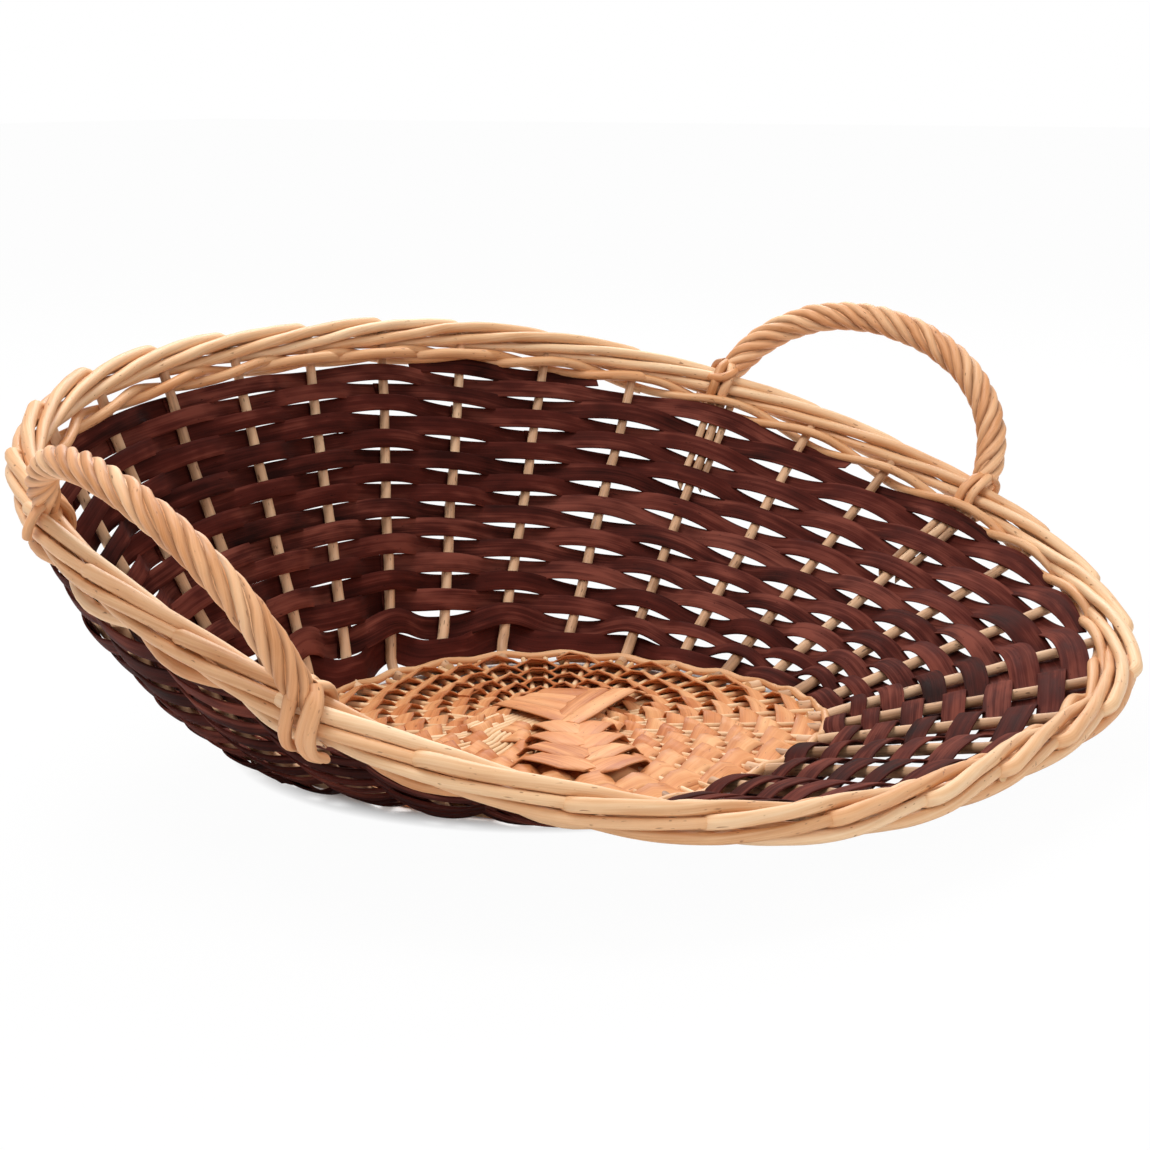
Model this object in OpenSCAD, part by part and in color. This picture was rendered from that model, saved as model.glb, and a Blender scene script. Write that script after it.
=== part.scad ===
// Oval display basket: dark flat strips woven over willow stakes, with a plaited
// border that slopes down to the front and a twisted handle at each end.
// +X points to the low front, +Y to the left-hand handle, +Z up. The origin is
// the middle of the base's underside. Everything is in millimetres.

/* [Base] */
// Base from back to front
base_depth = 234; // [190:1:280]
// Base from handle to handle
base_width = 246; // [200:1:290]
// Squareness of the base outline, where 2 is an ellipse
base_square = 2.6; // [2:0.1:3]
// Height of the base edge where the stakes turn up
base_edge_height = 4.5; // [4.5:0.1:8]
// Diameter of the sticks in the base
base_stick_d = 2.6; // [2.5:0.1:3.2]
// Diameter of the rod that closes the base edge
edge_rod_d = 3.8; // [3:0.1:4]

/* [Border] */
// Centreline of the border from back to front
border_depth = 400; // [340:1:460]
// Centreline of the border from handle to handle
border_width = 500; // [430:1:570]
// Squareness of the border outline, where 2 is an ellipse
border_square = 2.4; // [2:0.1:3]
// Height of the border's middle above the ground
border_height = 96; // [80:1:140]
// Slope of the border down to the front, in degrees
border_tilt = 18.5; // [0:0.5:20]
// How far the border's middle lies in front of the base's middle
border_forward = 35; // [0:1:50]
// Diameter of the plaited rods
border_rod_d = 5.2; // [4:0.1:6]
// Diameter of the two wale rods under the border
wale_rod_d = 4.8; // [3.5:0.1:5]

/* [Wall] */
// Diameter of the upright stakes
stake_d = 5.3; // [4:0.1:6]
// How far the stakes lean around the base, in stake spacings
stake_lean = 0.55; // [0:0.05:0.7]
// Thickness of the flat weaving strips
strip_t = 1; // [0.6:0.1:1.4]
// Gap between one woven row and the next
row_gap = 0.6; // [0.5:0.1:1.5]

/* [Handles] */
// Distance of each handle's rear foot behind the base's middle
rear_foot = 57; // [40:1:70]
// Distance of each handle's front foot in front of the base's middle
front_foot = 85; // [70:1:100]
// Rise of the handle above the border's centreline
handle_rise = 64; // [45:1:85]
// Outward lean of the handle, in degrees
handle_lean = 31; // [0:1:45]
// Squareness of the handle arch, where 2 is an ellipse
handle_square = 2.1; // [1.8:0.1:2.6]
// Diameter of one handle strand
strand_d = 5.5; // [4.5:0.1:6.5]
// Length of one full turn of the twisted strands
strand_pitch = 38; // [34:1:50]
// Diameter of the rods that anchor a handle in the wall
liner_d = 4.2; // [3.5:0.1:4.8]
// Length of those rods below the border
liner_reach = 62; // [45:1:75]

/* [Hidden] */

// Counts that the nodes and the pattern depend on
stake_count = 30;
weave_rows = 17;
base_rows = 9;
arm_sticks = 17;
border_strands = 5;
handle_strands = 4;
strip_span = 8;

willow = "burlywood";
pale_willow = "wheat";
base_willow = "peru";
dark_strip = "#3b1a14";

// Seats: pieces that rest on each other stay this far apart
clearance = 0.3;
end_gap = 0.8;
path_step = 2;
stake_start = 0.41;
flat_share = 1.3;

border_fall = tan(border_tilt);
border_radius = border_rod_d / 2 + (border_rod_d + clearance) / (2 * sin(180 / border_strands));
wale_swing = stake_d / 2 + wale_rod_d / 2 + 2 * clearance;
wale_rise = wale_rod_d / 2 + clearance / 2;
window_height = 4;
wale_drop = border_radius + window_height + wale_rise + wale_rod_d / 2;
band_height = wale_drop + wale_rise + wale_rod_d / 2 + row_gap;
weave_swing = stake_d / 2 + clearance + strip_t / 2;
first_row = 3;

stick_pitch = base_stick_d + clearance;
spoke_count = 4 * arm_sticks;
base_strip_t = 0.8;
binding_w = 8.3;
// Length over which the sticks spread out before the first woven base row
hub_spread = 18;
base_swing = base_stick_d / 2 + clearance + base_strip_t / 2;
base_flat_share = 0.9;
base_mid = base_strip_t + clearance + base_stick_d / 2;
hub_half = stick_pitch * arm_sticks / 2;
hub_reach = hub_half + hub_spread;
edge_rod_inset = 2.8;
stick_tip = 2.2;
stick_inset = edge_rod_inset + edge_rod_d / 2 + clearance;
weave_inset = stick_inset + stick_tip;
base_pitch = (base_depth / 2 - weave_inset - hub_reach) / base_rows;

rope_radius = strand_d / 2 + (strand_d + clearance) / (2 * sin(180 / handle_strands));
band_ring = border_radius + clearance + strand_d / 2;
// Angles from the border's top at which a band starts and ends
band_start = 64;
band_end = 150;
band_offset = 4.2;
// Room between the border and the first ring of a handle strand
rope_seat = 1.9;

// Paths ----------------------------------------------------------------

function unit(v) = v / norm(v);

// Point of a superellipse at a turning angle
function outline(angle, half_x, half_y, square) =
    let (c = cos(angle), s = sin(angle))
    [half_x * sign(c) * pow(abs(c), 2 / square), half_y * sign(s) * pow(abs(s), 2 / square)];

// Running length at each point of a path, scaled so that the whole path is total long
function running(path, total) =
    let (steps = [for (i = [1:len(path) - 1]) norm(path[i] - path[i - 1])],
        sums = [for (i = 0, s = 0; i <= len(steps); s = s + (i < len(steps) ? steps[i] : 0), i = i + 1) s])
    [for (i = [0:len(sums) - 1]) [sums[i] * total / sums[len(sums) - 1], i]];

// Point of a path at a running length
function on_path(path, table, reach) =
    let (i = lookup(reach, table), a = floor(i), b = ceil(i))
    path[a] + (path[b] - path[a]) * (i - a);

function wrap(w) = w - stake_count * floor(w / stake_count);

border_path = [for (angle = [0:path_step:360])
    let (q = outline(angle, border_depth / 2, border_width / 2, border_square))
    [q.x + border_forward, q.y, border_height - border_fall * q.x]];
border_table = running(border_path, stake_count);
base_path = [for (angle = [0:path_step:360])
    let (q = outline(angle, base_depth / 2, base_width / 2, base_square))
    [q.x, q.y, base_edge_height]];
base_table = running(base_path, stake_count);

// Places along the wall are counted in stakes: w = 0 is the first stake
function border_point(w) = on_path(border_path, border_table, wrap(w + stake_start));
function lean(w) = stake_lean * cos(720 * (w + stake_start) / stake_count);
function base_point(w) = on_path(base_path, base_table, wrap(w + stake_start + lean(w)));
function slant(w) = norm(border_point(w) - base_point(w));
function rising(w) = unit(border_point(w) - base_point(w));
function wall_point(w, v) = base_point(w) + rising(w) * v;
function sideways(w, v) = unit(wall_point(w + 0.1, v) - wall_point(w - 0.1, v));
function outward(w, v) = unit(cross(sideways(w, v), rising(w)));
function spacing(w, v) = norm(wall_point(w + 0.5, v) - wall_point(w - 0.5, v));
function room(w) = slant(w) - band_height;

// The stake whose running place lies nearest to a handle's foot
function foot_gap(w, side, x) = norm([border_point(w).x - x, (sign(border_point(w).y) == side ? 0 : 1000)]);
function nearest_stake(side, x, w = 0, best = 0) =
    w == stake_count ? best
    : nearest_stake(side, x, w + 1, foot_gap(w, side, x) < foot_gap(best, side, x) ? w : best);
foot_stakes = [for (side = [1, -1], x = [-rear_foot, front_foot]) nearest_stake(side, x)];
function is_foot(j) = len([for (f = foot_stakes) if (f == wrap(j)) f]) > 0;

// Solids along a path ----------------------------------------------------

// Closed solid through rings that turn the same way round the direction of travel
module loft(rings) {
    count = len(rings);
    sides = len(rings[0]);
    walls = [for (i = [0:count - 2], j = [0:sides - 1])
        let (a = i * sides + j, b = i * sides + (j + 1) % sides)
        each [[a, b, a + sides], [b, b + sides, a + sides]]];
    first_cap = [for (j = [1:sides - 2]) [0, j + 1, j]];
    last = (count - 1) * sides;
    last_cap = [for (j = [1:sides - 2]) [last, last + j, last + j + 1]];
    polyhedron([for (ring = rings) each ring], concat(walls, first_cap, last_cap));
}

// Ring of a round rod about a point, between two directions across the rod
function rod_ring(centre, across, up, d, sides) =
    [for (j = [0:sides - 1]) let (a = -360 * (j + 0.5) / sides)
        centre + (across * cos(a) + up * sin(a)) * d / 2];

// Ring of a flat strip about a point
function strip_ring(centre, across, up, w, t) =
    [for (corner = [[1, -1], [-1, -1], [-1, 1], [1, 1]])
        centre + across * corner.x * w / 2 + up * corner.y * t / 2];

module straight_rod(from, to, d) {
    way = to - from;
    translate(from)
        rotate([0, acos(way.z / norm(way)), atan2(way.y, way.x)])
            cylinder(h = norm(way), d = d, $fn = 24);
}

// Base -------------------------------------------------------------------

spoke_path = [for (p = base_path) [p.x, p.y, base_mid]];
spoke_table = running(spoke_path, spoke_count);
function spoke_edge(m) = on_path(spoke_path, spoke_table, m - spoke_count * floor(m / spoke_count));
function shrink(p, share, z) = [p.x * share, p.y * share, z];
function inset_share(inset) = 1 - 2 * inset / base_depth;

// One stick from edge to edge, crossing the hub at its own offset
module base_stick(from, to, hub_from, hub_to) {
    end_share = inset_share(stick_inset);
    down_share = 2 * (hub_reach - base_pitch / 2) / base_depth;
    stops = [shrink(spoke_edge(from), end_share, base_mid), shrink(spoke_edge(from), down_share, base_mid),
        hub_from, hub_to,
        shrink(spoke_edge(to), down_share, base_mid), shrink(spoke_edge(to), end_share, base_mid)];
    across = unit(cross([0, 0, 1], hub_to - hub_from));
    loft([for (p = stops) rod_ring(p, across, [0, 0, 1], base_stick_d, 6)]);
}

module base_sticks_lower() color(pale_willow)
    for (i = [-(arm_sticks - 1) / 2:(arm_sticks - 1) / 2])
        base_stick(2 * arm_sticks - i, i,
            [-hub_half, i * stick_pitch, base_mid], [hub_half, i * stick_pitch, base_mid]);

module base_sticks_upper() color(pale_willow)
    for (i = [-(arm_sticks - 1) / 2:(arm_sticks - 1) / 2])
        base_stick(3 * arm_sticks + i, arm_sticks - i,
            [i * stick_pitch, -hub_half, base_mid + stick_pitch],
            [i * stick_pitch, hub_half, base_mid + stick_pitch]);

// Flat strips that bind the crossing sticks, one below and two crossed on top
module base_binding() color(base_willow) {
    binding_l = 2 * hub_half;
    top = base_mid + stick_pitch + base_stick_d / 2 + clearance;
    translate([-binding_l / 2, -binding_w / 2, 0])
        cube([binding_l, binding_w, base_strip_t]);
    for (layer = [0, 1])
        translate([0, 0, top + layer * (base_strip_t + clearance)])
            rotate(45 + 90 * layer)
                translate([-binding_l / 2, -binding_w / 2, 0])
                    cube([binding_l, binding_w, base_strip_t]);
}

// One flat strip going over and under pairs of the sticks of the base
module base_row(row) color(base_willow) {
    share = inset_share(weave_inset + (base_rows - row + 0.5) * base_pitch);
    pairs = spoke_count / 2;
    spoke_gap = norm(spoke_edge(1) - spoke_edge(0)) * share;
    flat = (base_stick_d + base_flat_share) / spoke_gap / 2 + 0.5;
    opening = end_gap / spoke_gap / 2;
    stops = [for (pair = [0:pairs - 1], end = [-1, 1])
        [2 * pair + 0.5 + end * flat, (pair + row) % 2 == 0 ? 1 : -1]];
    join = (stops[0][0] + stops[len(stops) - 1][0] - spoke_count) / 2;
    places = concat([[join + opening, 0]], stops, [[join + spoke_count - opening, 0]]);
    loft([for (s = places)
        let (edge = spoke_edge(s[0]), way = unit(spoke_edge(s[0] + 0.1) - spoke_edge(s[0] - 0.1)))
        strip_ring(shrink(edge, share, base_mid + s[1] * base_swing), cross(way, [0, 0, 1]), [0, 0, 1],
            base_pitch - row_gap, base_strip_t)]);
}

// Rod that runs round the ends of the base sticks
module base_edge_rod() color(willow) {
    share = inset_share(edge_rod_inset);
    half = spoke_count / 2;
    for (side = [0, 1])
        loft([for (i = [0:half])
            let (m = side * half + i + (i == 0 ? 0.05 : 0) - (i == half ? 0.05 : 0),
                way = unit(spoke_edge(m + 0.1) - spoke_edge(m - 0.1)))
            rod_ring(shrink(spoke_edge(m), share, base_mid), cross(way, [0, 0, 1]), [0, 0, 1],
                edge_rod_d, 6)]);
}

// Wall -------------------------------------------------------------------

module stake(j) straight_rod(base_point(j), wall_point(j, slant(j) - border_radius - clearance), stake_d);

function quarter_first(q) = ceil(q * stake_count / 4 - stake_count / 8 - stake_start);
module stakes(q) color(pale_willow)
    for (j = [quarter_first(q):quarter_first(q + 1) - 1]) stake(j);

module stakes_front() stakes(0);
module stakes_left() stakes(1);
module stakes_back() stakes(2);
module stakes_right() stakes(3);

top_room = max([for (j = [0:stake_count - 1]) room(j)]);
row_pitch = (top_room - first_row) / weave_rows;
strip_w = row_pitch - row_gap;
function row_middle(row) = first_row + (row - 0.5) * row_pitch;
function row_top(row) = row_middle(row) + strip_w / 2;
function fits(row, j) = room(j) >= row_top(row) - row_gap;

// Half of the straight stretch over a stake, wider where handle rods flank it
function flat_half(j, v) =
    is_foot(j) && v > slant(j) - liner_reach - row_pitch
    ? stake_d / 2 + liner_d + 2 * clearance + flat_share / 2
    : stake_d / 2 + flat_share / 2;

function run_length(row, j, n = 0) =
    n < stake_count && fits(row, j + n) ? run_length(row, j, n + 1) : n;

// Runs of neighbouring stakes that a row covers, each as its first and last stake
function row_runs(row) =
    let (full = run_length(row, 0) == stake_count)
    full ? [[7 * row, 7 * row + stake_count]]
    : [for (j = [0:stake_count - 1]) if (fits(row, j) && !fits(row, j - 1))
        [j, j + run_length(row, j) - 1]];

// Places of one strip from one stake to another, each with the side it passes on
function strip_stops(row, first, last) =
    let (v = row_middle(row))
    [for (j = [first:last], end = [-1, 1])
        let (flat = flat_half(j, v) / spacing(j, v),
            cut = end_gap / 2 / spacing(j, v),
            place = j == first && end < 0 && last > first ? j + cut
                : j == last && end > 0 && last > first ? j - cut
                : j + end * flat)
        [place, (j + row) % 2 == 0 ? 1 : -1]];

module strip(row, first, last) {
    v = row_middle(row);
    loft([for (s = strip_stops(row, first, last))
        strip_ring(wall_point(s[0], v) + outward(s[0], v) * s[1] * weave_swing,
            rising(s[0]), outward(s[0], v), strip_w, strip_t)]);
}

// One woven row, made of strips that meet behind or before a stake
module weave_row(row) color(dark_strip)
    for (run = row_runs(row))
        let (length = run[1] - run[0], pieces = max(1, ceil(length / strip_span)))
        for (i = [0:pieces - 1])
            strip(row, run[0] + round(i * length / pieces), run[0] + round((i + 1) * length / pieces));

// One of the two rods that twine round the stakes under the border
module wale_rod(phase) color(willow) {
    third = stake_count / 3;
    for (part = [0:2])
        loft([for (i = [0:3 * third])
            let (w = part * third + i / 3 + (i == 0 ? 0.01 : 0) - (i == 3 * third ? 0.01 : 0),
                turn = 180 * w + phase,
                v = slant(w) - wale_drop)
            rod_ring(wall_point(w, v)
                + outward(w, v) * wale_swing * cos(turn) + rising(w) * wale_rise * sin(turn),
                rising(w), outward(w, v), wale_rod_d, 5)]);
}

module wale_rod_a() wale_rod(0);
module wale_rod_b() wale_rod(180);

// Border rods: each starts at its own stake and winds once round the border
module border_rod(j) {
    steps = 2 * border_strands;
    ring = border_radius - border_rod_d / 2;
    loft([for (i = [0:steps])
        let (w = j + i / 2 + (i == 0 ? 0.01 : 0) - (i == steps ? 0.01 : 0),
            turn = -360 * (w - j) / border_strands,
            v = slant(w),
            out = outward(w, v),
            up = rising(w))
        rod_ring(border_point(w) + (up * cos(turn) + out * sin(turn)) * ring, up, out, border_rod_d, 5)]);
}

module border_rods(strand) color(willow)
    for (j = [strand:border_strands:stake_count - 1]) border_rod(j);

// Handles ----------------------------------------------------------------

function handle_feet(side) = side > 0 ? [foot_stakes[0], foot_stakes[1]] : [foot_stakes[2], foot_stakes[3]];

// Direction of the handle's rise: square to the line between its feet, leaning outward
function handle_up(side, chord) =
    let (up = unit([0, 0, 1] - chord * chord.z), out = unit([0, side, 0] - chord * chord.y * side))
    unit(up * cos(handle_lean) + out * sin(handle_lean));

function handle_path(side) =
    let (feet = handle_feet(side), a = border_point(feet[0]), b = border_point(feet[1]),
        chord = unit(b - a), up = handle_up(side, chord),
        seat = border_radius + rope_seat,
        from = asin(pow(seat / handle_rise, handle_square / 2)))
    [for (i = [0:60])
        let (q = outline(180 - from - i * (180 - 2 * from) / 60, norm(b - a) / 2, handle_rise, handle_square))
        (a + b) / 2 + chord * q.x + up * q.y];

// One strand of a handle's twisted rope
module handle_strand(side, strand) color(willow) {
    path = handle_path(side);
    raw = running(path, 1);
    long = path_length(path);
    table = [for (row = raw) [row[0] * long, row[1]]];
    steps = round(8 * long / strand_pitch);
    ring = rope_radius - strand_d / 2;
    flat_normal = unit(cross(path[30] - path[0], path[60] - path[30]));
    loft([for (i = [0:steps])
        let (reach = long * i / steps,
            near = max(reach - 1, 0),
            far = min(reach + 1, long),
            way = unit(on_path(path, table, far) - on_path(path, table, near)),
            across = cross(way, flat_normal),
            turn = 360 * (strand / handle_strands - reach / strand_pitch))
        rod_ring(on_path(path, table, reach) + (across * cos(turn) + flat_normal * sin(turn)) * ring,
            flat_normal, across, strand_d, 5)]);
}

function path_length(path) = let (steps = [for (i = [1:len(path) - 1]) norm(path[i] - path[i - 1])])
    steps * [for (s = steps) 1];

// Ends of the strands, laid round the border beside each foot's stake
module handle_bands(side) color(willow)
    for (foot = handle_feet(side), along = [-1, 1], face = [0, 180]) {
        way = sideways(foot, slant(foot));
        centre = border_point(foot) + way * along * band_offset;
        out = outward(foot, slant(foot));
        spin = spin_to(way, out);
        translate(centre)
            rotate([0, acos(way.z), atan2(way.y, way.x)])
                rotate(spin + (face == 0 ? band_start - 90 : 270 - band_end))
                    rotate_extrude(angle = band_end - band_start, $fn = 48)
                        translate([band_ring, 0])
                            circle(d = strand_d, $fn = 24);
    }

// Turn about the ring's own axis that brings its start to the outward direction
function spin_to(way, out) =
    let (tip = acos(way.z), azimuth = atan2(way.y, way.x),
        x_axis = [cos(tip) * cos(azimuth), cos(tip) * sin(azimuth), -sin(tip)],
        y_axis = [-sin(azimuth), cos(azimuth), 0])
    atan2(out * y_axis, out * x_axis);

// Rods pushed down beside the stakes to hold the handle
module handle_liners(side) color(pale_willow)
    for (foot = handle_feet(side), along = [-1, 1]) {
        beside = sideways(foot, slant(foot)) * along * (stake_d / 2 + liner_d / 2 + clearance);
        straight_rod(wall_point(foot, slant(foot) - liner_reach) + beside,
            wall_point(foot, slant(foot) - border_radius - strand_d) + beside, liner_d);
    }

base_sticks_lower();
base_sticks_upper();
base_binding();
base_edge_rod();
base_row(1);  // base_row_01
base_row(2);  // base_row_02
base_row(3);  // base_row_03
base_row(4);  // base_row_04
base_row(5);  // base_row_05
base_row(6);  // base_row_06
base_row(7);  // base_row_07
base_row(8);  // base_row_08
base_row(9);  // base_row_09
stakes_front();
stakes_left();
stakes_back();
stakes_right();
weave_row(1);  // weave_row_01
weave_row(2);  // weave_row_02
weave_row(3);  // weave_row_03
weave_row(4);  // weave_row_04
weave_row(5);  // weave_row_05
weave_row(6);  // weave_row_06
weave_row(7);  // weave_row_07
weave_row(8);  // weave_row_08
weave_row(9);  // weave_row_09
weave_row(10);  // weave_row_10
weave_row(11);  // weave_row_11
weave_row(12);  // weave_row_12
weave_row(13);  // weave_row_13
weave_row(14);  // weave_row_14
weave_row(15);  // weave_row_15
weave_row(16);  // weave_row_16
weave_row(17);  // weave_row_17
wale_rod_a();
wale_rod_b();
border_rods(0);  // border_rods_1
border_rods(1);  // border_rods_2
border_rods(2);  // border_rods_3
border_rods(3);  // border_rods_4
border_rods(4);  // border_rods_5
handle_strand(1, 1);  // left_handle_strand_1
handle_strand(1, 2);  // left_handle_strand_2
handle_strand(1, 3);  // left_handle_strand_3
handle_strand(1, 4);  // left_handle_strand_4
handle_strand(-1, 1);  // right_handle_strand_1
handle_strand(-1, 2);  // right_handle_strand_2
handle_strand(-1, 3);  // right_handle_strand_3
handle_strand(-1, 4);  // right_handle_strand_4
handle_bands(1);  // left_handle_bands
handle_bands(-1);  // right_handle_bands
handle_liners(1);  // left_handle_liners
handle_liners(-1);  // right_handle_liners
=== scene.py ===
"""Dressing of an oval display basket: woven walls and base, plaited border and twisted handles.

+X points to the low front, +Y to the left-hand handle and +Z up, as in the part's source.
Forms are worked out in millimetres and written to the meshes in metres. Places along the
rim are counted in stakes, counter-clockwise as seen from above.
"""
import logging
import math
from dataclasses import dataclass
from enum import Enum
from typing import Callable

import bmesh
import bpy
import numpy as np
from mathutils import Matrix, Vector


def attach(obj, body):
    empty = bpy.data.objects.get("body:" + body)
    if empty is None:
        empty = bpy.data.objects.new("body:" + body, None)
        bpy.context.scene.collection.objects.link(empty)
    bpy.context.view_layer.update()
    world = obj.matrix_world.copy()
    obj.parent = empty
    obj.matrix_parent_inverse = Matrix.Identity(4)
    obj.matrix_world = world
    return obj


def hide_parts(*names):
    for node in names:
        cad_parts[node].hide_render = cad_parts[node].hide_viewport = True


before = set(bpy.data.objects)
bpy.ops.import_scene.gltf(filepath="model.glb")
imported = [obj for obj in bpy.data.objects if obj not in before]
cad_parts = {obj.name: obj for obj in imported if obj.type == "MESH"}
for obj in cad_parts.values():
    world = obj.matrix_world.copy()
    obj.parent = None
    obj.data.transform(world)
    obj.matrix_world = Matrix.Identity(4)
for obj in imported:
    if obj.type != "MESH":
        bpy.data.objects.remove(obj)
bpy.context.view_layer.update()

LOG = logging.getLogger("basket")
MM = 0.001
UP = np.array([0.0, 0.0, 1.0])
STAKES = 30
SMOOTH_ANGLE = math.radians(48)
CUT_REACH = 2.5
GRAIN_STEP = 37.0

Array = np.ndarray
Number = np.ndarray | float
Triple = tuple[float, float, float]
Socket = bpy.types.NodeSocket
Feed = Socket | float | tuple[float, ...]


class Slot(Enum):
    """Material slots of the record."""

    DARK_STRIP = "dark_strip"
    BORDER_ROD = "border_rod"
    HANDLE_ROD = "handle_rod"
    STAKE = "stake"
    BASE_STRIP = "base_strip"
    BASE_STICK = "base_stick"


class Side(Enum):
    """The two ends of the basket that carry a handle."""

    LEFT = 1
    RIGHT = -1


# Small helpers


def unit(v: Array) -> Array:
    """Vectors scaled to length one along their last axis."""
    return v / np.linalg.norm(v, axis=-1, keepdims=True)


def column(v: Number) -> Array:
    """Numbers as a column, so that they multiply rows of points."""
    return np.asarray(v, dtype=float)[..., None]


def turned(a: Array, b: Array, angle: Number) -> Array:
    """Direction a, turned towards direction b by angles in radians."""
    return a * column(np.cos(angle)) + b * column(np.sin(angle))


def ease(x: Number) -> Array:
    """Smooth step from 0 to 1 as x goes from 0 to 1."""
    t = np.clip(x, 0.0, 1.0)
    return t * t * (3.0 - 2.0 * t)


def hills(w: Number, rows: tuple[Triple, ...], base: float = 0.0) -> Number:
    """Smooth hills along the rim, added up.

    Args:
        w: Places counted in stakes.
        rows: Height, middle and reach of each hill.
        base: What the hills stand on.

    Returns:
        The height at each place.
    """
    total = base
    for height, middle, reach in rows:
        near = np.mod(w - middle + STAKES / 2, STAKES) - STAKES / 2
        total = total + height * np.cos(np.clip(near / reach, -1, 1) * math.pi / 2) ** 2
    return total


def lengths(path: Array) -> Array:
    """Running length at each point of a path."""
    return np.r_[0.0, np.cumsum(np.linalg.norm(np.diff(path, axis=0), axis=1))]


def even(path: Array, count: int) -> Array:
    """The same path with its points at even steps of running length.

    Args:
        path: Points of the path.
        count: How many points it gets.

    Returns:
        The evenly spaced points.
    """
    run = lengths(path)
    want = np.linspace(0, run[-1], count)
    return np.stack([np.interp(want, run, path[:, k]) for k in range(3)], 1)


def curve_through(points: list, count: int) -> Array:
    """Smooth path through three or more points, with its own points at even steps.

    Args:
        points: Points that it passes through.
        count: How many points it gets.

    Returns:
        Points of the path.
    """
    p = np.asarray(points, dtype=float)
    p = np.vstack([2 * p[0] - p[1], p, 2 * p[-1] - p[-2]])
    rows = []
    for i in range(1, len(p) - 2):
        t = column(np.linspace(0, 1, 24, endpoint=i == len(p) - 3))
        a, b, c, d = p[i - 1:i + 3]
        rows.append(0.5 * (2 * b + (c - a) * t + (2 * a - 5 * b + 4 * c - d) * t**2
                           + (3 * b - a - 3 * c + d) * t**3))
    return even(np.vstack(rows), count)


# Form of the basket


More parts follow.
